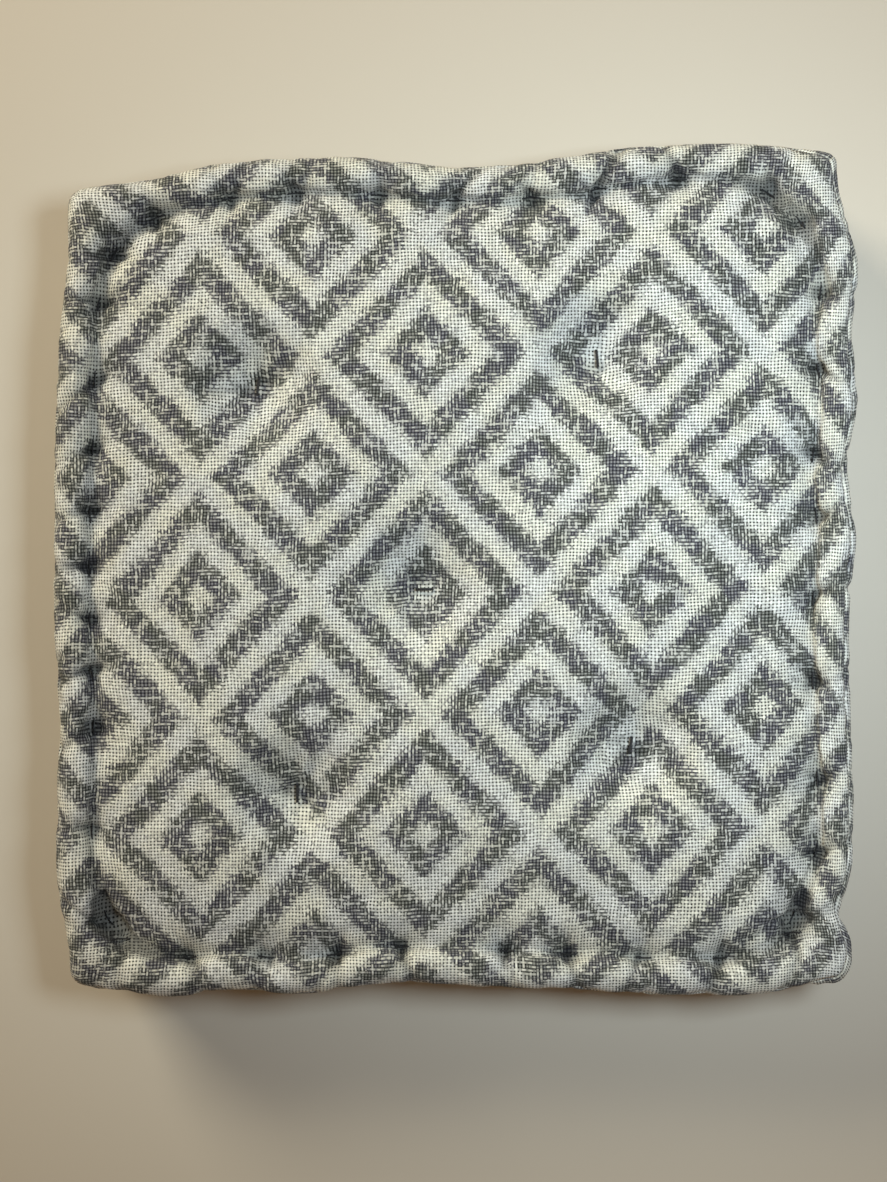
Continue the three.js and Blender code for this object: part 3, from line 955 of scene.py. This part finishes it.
# The weave and the dye. A pair named EDGE or RANGE says where a soft step starts and ends. Another
# pair is the slope and the start of a straight line over a number from 0 to 1.
PRINT_BLUR = 0.035
WANDER = 0.0045  # how far the yarns stray from a straight line
WANDER_SCALE = 22.0
YARN_HALF = (0.06, 0.225)  # half a yarn's width, as a share of the pitch
YARN_EDGE = (1.25, 0.8)
YARN_UNDER = 0.4  # height of a yarn under the one that crosses it
YARN_BUMP = 0.0005
RUN_RATE = 0.42  # runs of dye for every yarn that is crossed
SLIP = (1.4, -0.7)  # how far a yarn has slipped since it was printed, in yarns
RAGGED = (0.08, -0.04)
DASH_EDGE = (0.62, 0.76)
DASH_PALENESS = 0.66
CELL_STRENGTH = (0.2, 0.89)
CELL_TONE = (0.26, 0.87)
HEIGHT_SHADE = (0.22, 0.78)
STRAY_EDGE = (0.05, 0.03)  # stray dyed dashes in the pale parts
STRAY_STRENGTH = 0.5
CROWN_HIGHLIGHT = 0.3  # share of the dye taken off the yarns' crowns, a painted highlight
CROWN_RANGE = (0.75, 1.0)
HEIGHT_SHADE_RANGE = (0.3, 1.0)
HOLE_EDGE = (0.6, 0.1)
HOLE_SHADE = (0.4, 0.75)
COOL_SCALE = 30.0  # of the patches in which the pale yarn is cooler
COOL_RANGE = (0.35, 0.65)
GREEN_SCALE = 50.0
GREEN_RANGE = (0.4, 0.6)
FIBRE_SCALE = 2600.0
FIBRE_HEIGHT = 0.25
WARP_SEEDS = (11, 1, 4, 6, 7)  # width, run, uptake, dash and slip
WEFT_SEEDS = (12, 2, 3, 5, 8)
CELL_SEED = 9
HOLE_SEED = 10


def diamond_print(shader, x, y, ragged):
    """1 on the dyed rings of a lattice of diamonds, 0 between them. x and y count diamonds."""
    sums = [shader.math("PINGPONG", shader.math(kind, x, y), 0.5) for kind in ("ADD", "SUBTRACT")]
    ring = shader.line(shader.math("MAXIMUM", *sums), 2.0, ragged)
    dyed = 0.0
    for start, end in PRINT_RINGS:
        inside = shader.times(shader.step(ring, start - PRINT_BLUR, start + PRINT_BLUR),
                              shader.step(ring, end + PRINT_BLUR, end - PRINT_BLUR))
        dyed = shader.math("ADD", inside, dyed)
    return dyed


def yarns(shader, own, crossing, off_own, off_crossing, seeds):
    """The yarns of one direction, from the numbers of the point's own yarn and of the one that
    crosses it, and from how far the point is from the middle of each."""
    wide, run, uptake, dash, slip = seeds
    half = shader.line(shader.random(own, 0.0, wide), *YARN_HALF)
    run = shader.math("FLOOR", shader.line(crossing, RUN_RATE, shader.random(own, 0.0, run)))
    arch = shader.math("COSINE", shader.times(off_crossing, math.pi))
    return SimpleNamespace(
        covers=shader.step(shader.math("DIVIDE", off_own, half), *YARN_EDGE),
        uptake=shader.random(run, own, uptake),
        dash=shader.random(run, own, dash),
        slip=shader.line(shader.random(own, 0.0, slip), *SLIP),
        arch=shader.line(arch, 0.5, 0.5),
    )


def wandering(shader, uv):
    """The place on the cloth, moved a little so that no yarn runs straight."""
    cloud = shader.node("ShaderNodeTexNoise", {"Vector": uv, "Scale": WANDER_SCALE, "Detail": 1.0})
    drift = shader.node("ShaderNodeVectorMath", {0: cloud.outputs["Color"], 1: (0.5, 0.5, 0.5)},
                        operation="SUBTRACT")
    drift = shader.node("ShaderNodeVectorMath", {0: drift.outputs[0], "Scale": WANDER},
                        operation="SCALE")
    place = shader.node("ShaderNodeVectorMath", {0: uv, 1: drift.outputs[0]}, operation="ADD")
    return shader.node("ShaderNodeSeparateXYZ", {0: place.outputs[0]})


def printed_cotton(name, centre):
    """Open plain weave, printed with rings of diamonds. Every yarn takes the dye in runs of its
    own, so that pale dashes cross the dyed parts and the edges of the rings are ragged."""
    shader = Shader(name)
    uv = shader.node("ShaderNodeUVMap", uv_map="cloth").outputs["UV"]
    place = wandering(shader, uv)
    places = [shader.math("DIVIDE", place.outputs[axis], YARN_PITCH) for axis in ("X", "Y")]
    across, along = places
    warp, weft = (shader.math("FLOOR", value) for value in places)
    off_warp, off_weft = (
        shader.math("ABSOLUTE", shader.math("SUBTRACT", shader.math("FRACT", value), 0.5))
        for value in places
    )
    warp_over = shader.math("FLOORED_MODULO", shader.math("ADD", warp, weft), 2.0)

    # The two directions of yarns, and which of them shows. There is a hole between four of them.
    warps = yarns(shader, warp, weft, off_warp, off_weft, WARP_SEEDS)
    wefts = yarns(shader, weft, warp, off_weft, off_warp, WEFT_SEEDS)
    clear_of_weft = shader.times(warps.covers, shader.math("SUBTRACT", 1.0, wefts.covers))
    warp_shows = shader.choose(warp_over, clear_of_weft, warps.covers)

    # Where the yarn that shows was printed, and how well it took the dye there.
    uptake = shader.choose(warp_shows, wefts.uptake, warps.uptake)
    dash = shader.choose(warp_shows, wefts.dash, warps.dash)
    print_x = shader.choose(warp_shows, shader.math("ADD", across, wefts.slip), warp)
    print_y = shader.choose(warp_shows, weft, shader.math("ADD", along, warps.slip))
    x = shader.line(print_x, YARN_PITCH / PRINT_WIDTH, -centre[0] / PRINT_WIDTH)
    y = shader.line(print_y, YARN_PITCH / PRINT_LENGTH, -centre[1] / PRINT_LENGTH)
    printed = diamond_print(shader, x, y, shader.line(uptake, *RAGGED))
    cell = shader.random(warp, weft, CELL_SEED)
    missed = shader.times(shader.step(dash, *DASH_EDGE), DASH_PALENESS)
    strength = shader.math("SUBTRACT", shader.line(cell, *CELL_STRENGTH), missed)
    stray = shader.times(shader.step(uptake, *STRAY_EDGE), STRAY_STRENGTH)
    dyed = shader.math("MAXIMUM", shader.times(printed, strength), stray)

    # Height of the yarns. Their crowns are painted lighter, with less dye: a painted highlight.
    warp_rise = shader.choose(warp_over, YARN_UNDER, warps.arch)
    weft_rise = shader.choose(warp_over, wefts.arch, YARN_UNDER)
    height = shader.math("MAXIMUM", shader.times(warps.covers, warp_rise),
                         shader.times(wefts.covers, weft_rise))
    dyed = shader.times(dyed, shader.line(shader.step(height, *CROWN_RANGE), -CROWN_HIGHLIGHT, 1.0))

    # Colour of the yarns.
    cool = shader.step(shader.cloud(uv, COOL_SCALE), *COOL_RANGE)
    green = shader.step(shader.cloud(uv, GREEN_SCALE, 1.0), *GREEN_RANGE)
    colour = shader.mix(dyed, shader.mix(cool, CREAM, COOL_CREAM), shader.mix(green, DYE, GREEN_DYE))
    # Painted shade: the yarns are coloured darker where they lie low and lighter on their crowns,
    # times a random tone for every crossing.
    shade_and_tone = shader.times(shader.line(shader.step(height, *HEIGHT_SHADE_RANGE), *HEIGHT_SHADE),
                        shader.line(cell, *CELL_TONE))
    shade = shader.node("ShaderNodeCombineColor", {"Red": shade_and_tone, "Green": shade_and_tone, "Blue": shade_and_tone})
    colour = shader.mix(1.0, colour, shade.outputs[0], "MULTIPLY")
    # Painted shade: the holes between the yarns are coloured nearly black, as shadow would make them.
    hole = shader.step(shader.math("MAXIMUM", warps.covers, wefts.covers), *HOLE_EDGE)
    depth = shader.line(shader.random(warp, weft, HOLE_SEED), *HOLE_SHADE)
    colour = shader.mix(shader.times(hole, depth), colour, SHADE_BLACK)
    # Painted shade: deep creases are coloured darker, towards near-black.
    crease = shader.node("ShaderNodeAttribute", attribute_name="crease").outputs["Fac"]
    colour = shader.mix(shader.times(crease, CREASE_SHADE), colour, SHADE_BLACK)
    shader.set(Base_Color=colour, Roughness=0.92, Sheen_Weight=0.1, Sheen_Roughness=0.6)
    shader.surface.inputs["Specular IOR Level"].default_value = 0.2
    shader.bump(shader.line(shader.cloud(uv, FIBRE_SCALE), FIBRE_HEIGHT, height), YARN_BUMP, 0.5)
    return shader.material


def waxed_thread():
    """Black two-ply thread with a low wax shine."""
    shader = Shader("waxed_thread")
    uv = shader.node("ShaderNodeUVMap", uv_map="cloth").outputs["UV"]
    fibre = shader.cloud(uv, 900.0)
    colour = shader.mix(fibre, THREAD_BLACK, THREAD_SHINE)
    shader.set(Base_Color=colour, Roughness=0.55)
    shader.bump(fibre, 0.0001, 0.4)
    return shader.material


def cotton_wadding():
    """Matted off-white cotton fibre."""
    shader = Shader("cotton_wadding")
    place = shader.node("ShaderNodeTexCoord").outputs["Object"]
    tuft = shader.cloud(place, 90.0, 4.0)
    fibre = shader.cloud(place, 1400.0, 3.0)
    colour = shader.mix(tuft, WADDING_DULL, WADDING_PALE)
    colour = shader.mix(shader.times(fibre, 0.35), colour, WADDING_HUSK)
    shader.set(Base_Color=colour, Roughness=0.97, Sheen_Weight=0.3)
    shader.bump(shader.math("ADD", tuft, fibre), 0.002, 0.6)
    return shader.material


TOP_PRINT = printed_cotton("printed_cotton_top", PRINT_CENTRE)
UNDER_PRINT = printed_cotton("printed_cotton_under", UNDER_PRINT_CENTRE)
BOXING_PRINT = printed_cotton("printed_cotton_boxing", BOXING_PRINT_CENTRE)
THREAD = waxed_thread()
WADDING = cotton_wadding()

# ------------ meshes


def add_piece(name, points, faces, material, uv=None):
    """A smooth-shaded mesh object that rides on the cushion."""
    mesh = bpy.data.meshes.new(name)
    mesh.from_pydata(np.asarray(points).tolist(), [], list(faces))
    mesh.polygons.foreach_set("use_smooth", [True] * len(mesh.polygons))
    if uv is not None:
        layer = mesh.uv_layers.new(name="cloth")
        corner = np.empty(len(mesh.loops), np.int32)
        mesh.loops.foreach_get("vertex_index", corner)
        layer.data.foreach_set("uv", np.asarray(uv)[corner].astype(np.float32).ravel())
    mesh.materials.append(material)
    mesh.validate()
    piece = bpy.data.objects.new(name, mesh)
    bpy.context.scene.collection.objects.link(piece)
    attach(piece, "root")
    return piece


def cloth_piece(name, node, grid, order, uv, material):
    """One cut piece of the cover: its part of the blown-up mesh, given thickness."""
    ids, faces = np.unique(grid_faces(grid, order), return_inverse=True)
    faces = faces.reshape(-1, 4).tolist()
    number = np.zeros(ids.max() + 1, int)
    number[ids] = np.arange(len(ids))
    points = cover.points[ids].copy()
    border = np.unique(np.concatenate([grid[0], grid[-1], grid[:, 0], grid[:, -1]]))
    points[number[border]] -= SEAM_DEPTH * cover.normals[border]
    coordinates = np.zeros((len(ids), 2))
    coordinates[number[grid.reshape(-1)]] = uv.reshape(-1, 2)
    piece = add_piece(name, points, faces, material, coordinates)
    # The painted shade of the creases, as an attribute for the cloth's material.
    shade = piece.data.attributes.new("crease", "FLOAT", "POINT")
    shade.data.foreach_set("value", cover.shade[ids].astype(np.float32))
    thick = piece.modifiers.new("thick", "SOLIDIFY")
    thick.thickness = CLOTH_THICKNESS
    thick.offset = -1
    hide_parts(node)


EASING_ROUNDS = 80
EASING_HOLD = 0.01  # share by which every round draws the print back to where it was
EASING_PUSH = 0.2


def eased(places, points):
    """The places on the cloth, moved a little so that the yarns lie evenly on the surface."""
    start = places
    wanted = []
    for axis in (0, 1):
        step = np.diff(start, axis=axis)
        stretch = np.linalg.norm(np.diff(points, axis=axis), axis=-1)
        stretch /= np.linalg.norm(step, axis=-1)
        wanted.append(step * stretch[..., None])
    for _ in range(EASING_ROUNDS):
        move = EASING_HOLD * (start - places)
        for axis in (0, 1):
            push = EASING_PUSH * (wanted[axis] - np.diff(places, axis=axis))
            none = np.zeros_like(np.take(push, [0], axis))
            move += np.concatenate([none, push], axis) - np.concatenate([push, none], axis)
        places = places + move
    return places


def panel_places(grid):
    places = eased(print_places(cover.s, cover.t), cover.points[grid])
    places[..., 1] -= PRINT_SKEW * places[..., 0]
    return places


def make_cloth():
    cloth_piece("top_cover", "top_panel", cover.top, UPWARDS, panel_places(cover.top),
                TOP_PRINT)
    cloth_piece("under_cover", "bottom_panel", cover.under, DOWNWARDS, panel_places(cover.under),
                UNDER_PRINT)
    for number, (side, (axis, _)) in enumerate(SIDES.items()):
        grid = cover.boxing[side_stations(cover, side)]
        length = (PANEL_LENGTH, PANEL_WIDTH)[axis]
        along = np.linspace(0, length, len(grid)) + number * PANEL_WIDTH
        uv = np.stack(np.meshgrid(along, BOXING_HEIGHT - cover.drop, indexing="ij"), -1)
        cloth_piece(f"{side}_boxing_strip", f"{side}_boxing", grid, OUTWARDS, uv,
                    BOXING_PRINT)


# ------------ thread

THREAD_STEP = 0.0007
TWIST_PITCH = 0.0026
PLY_SIDES = 6
PLY_OFFSET = 0.48 * THREAD_RADIUS
PLY_RADIUS = 0.56 * THREAD_RADIUS
STITCH_ROOT = 0.0022  # how far below the cloth a stitch's path starts and ends
PANEL_STITCH_LIFT = 0.0018
BOXING_STITCH_LIFT = 0.0010


def smooth_path(points):
    """Even points along a smooth curve through the given ones."""
    points = np.asarray(points, float)
    ends = np.concatenate([[2 * points[0] - points[1]], points, [2 * points[-1] - points[-2]]])
    dense = []
    for a, b, c, d in zip(ends, ends[1:], ends[2:], ends[3:]):
        count = max(2, round(np.linalg.norm(c - b) / THREAD_STEP))
        u = np.linspace(0, 1, count, endpoint=False)[:, None]
        curve = 2 * b + (c - a) * u + (2 * a - 5 * b + 4 * c - d) * u ** 2
        curve = (curve + (3 * b - a - 3 * c + d) * u ** 3) / 2
        dense.append(curve)
    return np.concatenate([*dense, points[-1:]])


def sweep_frames(path):
    """Directions across a path that don't turn about it."""
    ahead = np.gradient(path, axis=0)
    ahead /= np.maximum(np.linalg.norm(ahead, axis=1), 1e-9)[:, None]
    side = np.cross(ahead[0], (0.3, 0.2, 0.9))
    sides = []
    for direction in ahead:
        side = side - direction * (side @ direction)
        side = side / np.linalg.norm(side)
        sides.append(side)
    sides = np.array(sides)
    return sides, np.cross(ahead, sides)


def run_length(path):
    """Distance along a path to each of its points."""
    return np.concatenate([[0], np.cumsum(np.linalg.norm(np.diff(path, axis=0), axis=1))])


def ply_tube(path, offset):
    """Points, faces and cloth coordinates of one ply along a path. Its faces count the points
    from the offset."""
    first, second = sweep_frames(path)
    turn = np.arange(PLY_SIDES) * 2 * math.pi / PLY_SIDES
    rings = path[:, None] + PLY_RADIUS * (
        np.cos(turn)[None, :, None] * first[:, None] + np.sin(turn)[None, :, None] * second[:, None]
    )
    ids = np.arange(len(path) * PLY_SIDES).reshape(len(path), PLY_SIDES)
    following = np.roll(ids, -1, 1)
    faces = np.stack([ids[:-1], following[:-1], following[1:], ids[1:]], -1).reshape(-1, 4).tolist()
    faces += [ids[0, ::-1].tolist(), ids[-1].tolist()]
    uv = np.stack(np.broadcast_arrays(turn[None, :] * PLY_RADIUS, run_length(path)[:, None]), -1)
    uv = uv.reshape(-1, 2)
    return rings.reshape(-1, 3), [[i + offset for i in face] for face in faces], uv


def twisted_thread(paths):
    """Two plies wound round each other along every path."""
    points, faces, uvs = [], [], []
    total = 0
    for path in paths:
        path = smooth_path(path)
        first, second = sweep_frames(path)
        for ply in (0, math.pi):
            turn = (run_length(path) * 2 * math.pi / TWIST_PITCH + ply)[:, None]
            strand = path + PLY_OFFSET * (np.cos(turn) * first + np.sin(turn) * second)
            more, more_faces, uv = ply_tube(strand, total)
            total += len(more)
            points.append(more)
            faces += more_faces
            uvs.append(uv)
    return np.concatenate(points), faces, np.concatenate(uvs)


def thread_piece(name, node, paths):
    points, faces, uv = twisted_thread(paths)
    piece = add_piece(name, points, faces, THREAD, uv)
    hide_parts(node)


def stitch_over(grid, stitch, lift):
    """Path of one visible stitch: out of the cloth, over three vertices and in again."""
    ids = [grid[at] for at in stitch]
    a, b, c = cover.points[ids]
    up = cover.normals[ids].mean(0)
    up = up / np.linalg.norm(up)
    root = STITCH_ROOT * up
    return [a - root, a + 0.5 * lift * up, b + lift * up, c + 0.5 * lift * up, c - root]


def edge_run(side, level):
    """One side's edge stitches: a stitch in the panel's groove, through the roll, one in the
    boxing's groove, and back through the roll to the next."""
    path = []
    grid = getattr(cover, level)
    panel = cover.runs[(side, level, "panel")]
    boxing = cover.runs[(side, level, "boxing")]
    for above, below in zip(panel, boxing):
        path += stitch_over(grid, above, PANEL_STITCH_LIFT)
        path += stitch_over(cover.boxing, below[::-1], BOXING_STITCH_LIFT)
    return path


KNOT_DROP = 0.004  # below the bottom panel
KNOT_SIZE = 0.0009
KNOT_STEPS = 24
PASS_SHIFT = 0.55 * THREAD_RADIUS  # of the stitch's two passes to each side
CROWN_SHIFT = 1.2  # times as much at the top of the stitch
CROWN_LIFT = 0.0020
# The half of a pass that climbs: share of half the stitch's length, and height over the bottom
# panel or the top one.
UNDER_CLIMB = ((0.7, -0.0012), (1, 0.004))
TOP_CLIMB = ((1, -0.004), (0.95, 0.0010))


def trefoil(centre):
    """Path of a simple knot."""
    turn = np.linspace(0, 2 * math.pi, KNOT_STEPS, endpoint=False)
    x = np.sin(turn) + 2 * np.sin(2 * turn)
    y = np.cos(turn) - 2 * np.cos(2 * turn)
    z = -np.sin(3 * turn)
    return np.asarray(centre) + KNOT_SIZE * np.stack([x, y, z], -1)


def tuft_tie(tuft):
    """The thread of one tuft: up through the filling, over the stitch and down, twice, and a
    knot with two short tails under the bottom panel."""
    along = np.array([*tuft.along, 0])
    across = np.array([-tuft.along[1], tuft.along[0], 0])
    top = cover.points[cover.top[cover.tufts[(tuft.name, "top")][0][1]]]
    under = cover.points[cover.under[cover.tufts[(tuft.name, "under")][0][1]]]
    half = along * STITCH_LENGTH / 2
    climb = [(under, *step) for step in UNDER_CLIMB] + [(top, *step) for step in TOP_CLIMB]
    knot = under - np.array([0, 0, KNOT_DROP])
    path = [knot + across * 0.004 - along * 0.010, knot + across * 0.003 - along * 0.004]
    for pass_side in (-1, 1):
        shift = pass_side * PASS_SHIFT * across
        path += [place - half * share + shift + (0, 0, lift) for place, share, lift in climb]
        path.append(top + shift * CROWN_SHIFT + (0, 0, CROWN_LIFT))
        path += [place + half * share + shift + (0, 0, lift) for place, share, lift in climb[::-1]]
    path += [knot - across * 0.003 + along * 0.004, knot - across * 0.005 + along * 0.011]
    return [path, trefoil(knot)]


def make_threads():
    for side in SIDES:
        for word, level in (("top", "top"), ("bottom", "under")):
            name = f"{word}_{side}_edge"
            thread_piece(f"{name}_stitches", f"{name}_thread", [edge_run(side, level)])
    for tuft in TUFTS:
        thread_piece(f"{tuft.name}_tuft_thread", f"{tuft.name}_tuft_tie", tuft_tie(tuft))


# ------------ filling

FILL_GAP = 0.0030  # from the cover's outer face to the filling
TUFT_SINK = 0.006  # more of it round the tufts
WADDING_SHARE = 0.985  # of the room inside the grooves
WADDING_FILL = 0.8
WADDING_INSET = 2  # squares of the cover's mesh inside the groove
WADDING_STEP = 4
ROLL_FILL = 0.9
ROLL_SIDES = 12
ROLL_SHARE = 0.94  # of the free room in the roll
NARROWEST_REACH = 8  # stations to each side whose least radius counts
RADIUS_REACH = 6  # stations to each side over which the radius is evened out
CENTRE_REACH = 4


def layer_mesh(upper_points, lower_points):
    """A closed layer between two grids of points of the same size."""
    columns, rows = upper_points.shape[:2]
    top = np.arange(columns * rows).reshape(columns, rows)
    low = top + top.size
    i, j = border_ring(columns - 1, rows - 1).T
    rim, low_rim = top[i, j], low[i, j]
    side = np.stack([low_rim, np.roll(low_rim, -1), np.roll(rim, -1), rim], -1)
    faces = np.concatenate([grid_faces(top, UPWARDS), grid_faces(low, DOWNWARDS), side])
    return np.concatenate([upper_points.reshape(-1, 3), lower_points.reshape(-1, 3)]), faces.tolist()


def fill_piece(name, node, points, faces, fill):
    piece = add_piece(name, points, faces, WADDING)
    finer = piece.modifiers.new("finer", "SUBSURF")
    finer.levels = 1
    finer.render_levels = 1
    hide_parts(node)


def shrunk(points):
    """The same grid of points, drawn in a little sideways."""
    scaled = points.copy()
    scaled[..., :2] *= WADDING_SHARE
    return scaled


def levelled(points, height):
    """The same grid of points, all at one height."""
    flat = points.copy()
    flat[..., 2] = height
    return flat


def make_wadding():
    inside = slice(cover.groove + WADDING_INSET, -cover.groove - WADDING_INSET, WADDING_STEP)
    sunk = TUFT_SINK * dimples(cover.points[:, 0], cover.points[:, 1], DIMPLE_RADIUS)
    skin = cover.points - (FILL_GAP + sunk)[:, None] * cover.normals
    upper = shrunk(skin[cover.top[inside, inside]])
    lower = shrunk(skin[cover.under[inside, inside]])
    lower[..., 2] = np.maximum(lower[..., 2], FILL_GAP)
    upper_low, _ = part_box("upper_wadding")
    _, lower_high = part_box("lower_wadding")
    middle_low, middle_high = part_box("middle_wadding")
    layers = {
        "upper_wadding": (upper, levelled(upper, upper_low.z)),
        "lower_wadding": (levelled(lower, lower_high.z), lower),
        "middle_wadding": (levelled(upper, middle_high.z), levelled(lower, middle_low.z)),
    }
    for node, grids in layers.items():
        fill_piece(f"{node}_fill", node, *layer_mesh(*grids), WADDING_FILL)


def roll_centres(upper):
    """Middle and free radius of a roll, at every station of the ring."""
    grid = cover.top if upper else cover.under
    steps = np.arange(cover.groove + 1)
    i = np.clip(cover.ring[:, 0][:, None], steps, cover.columns - steps)
    j = np.clip(cover.ring[:, 1][:, None], steps, cover.rows - steps)
    panel = cover.points[grid[i, j]]
    rows = slice(1, cover.side_groove + 1) if upper else slice(-cover.side_groove - 1, -1)
    section = np.concatenate([panel, cover.points[cover.boxing[:, rows]]], 1)
    centres = section.mean(1)
    radii = np.linalg.norm(section - centres[:, None], axis=2).min(1) - FILL_GAP
    return centres, radii


def ring_shifts(values, reach):
    """The values round a closed ring, shifted by every number of stations up to the reach."""
    return [np.roll(values, step, 0) for step in range(-reach, reach + 1)]


def make_roll_filling(level):
    centres, radii = roll_centres(level == "upper")
    radii = np.min(ring_shifts(radii, NARROWEST_REACH), 0)
    radii = np.mean(ring_shifts(radii, RADIUS_REACH), 0)[::2] * ROLL_SHARE
    centres = np.mean(ring_shifts(centres, CENTRE_REACH), 0)[::2]
    ahead = np.roll(centres, -1, 0) - np.roll(centres, 1, 0)
    ahead /= np.linalg.norm(ahead, axis=1)[:, None]
    out = np.cross(ahead, (0, 0, 1))
    turn = np.arange(ROLL_SIDES) * 2 * math.pi / ROLL_SIDES
    rise = np.array([0, 0, 1.0])
    rings = centres[:, None] + radii[:, None, None] * (
        np.cos(turn)[None, :, None] * out[:, None] + np.sin(turn)[None, :, None] * rise
    )
    ids = np.arange(rings[..., 0].size).reshape(rings.shape[:2])
    after, around = np.roll(ids, -1, 0), np.roll(ids, -1, 1)
    faces = np.stack([ids, after, np.roll(after, -1, 1), around], -1).reshape(-1, 4)
    fill_piece(f"{level}_roll_fill", f"{level}_roll_filling", rings.reshape(-1, 3), faces.tolist(),
               ROLL_FILL)


make_cloth()
make_threads()
make_wadding()
make_roll_filling("upper")
make_roll_filling("lower")
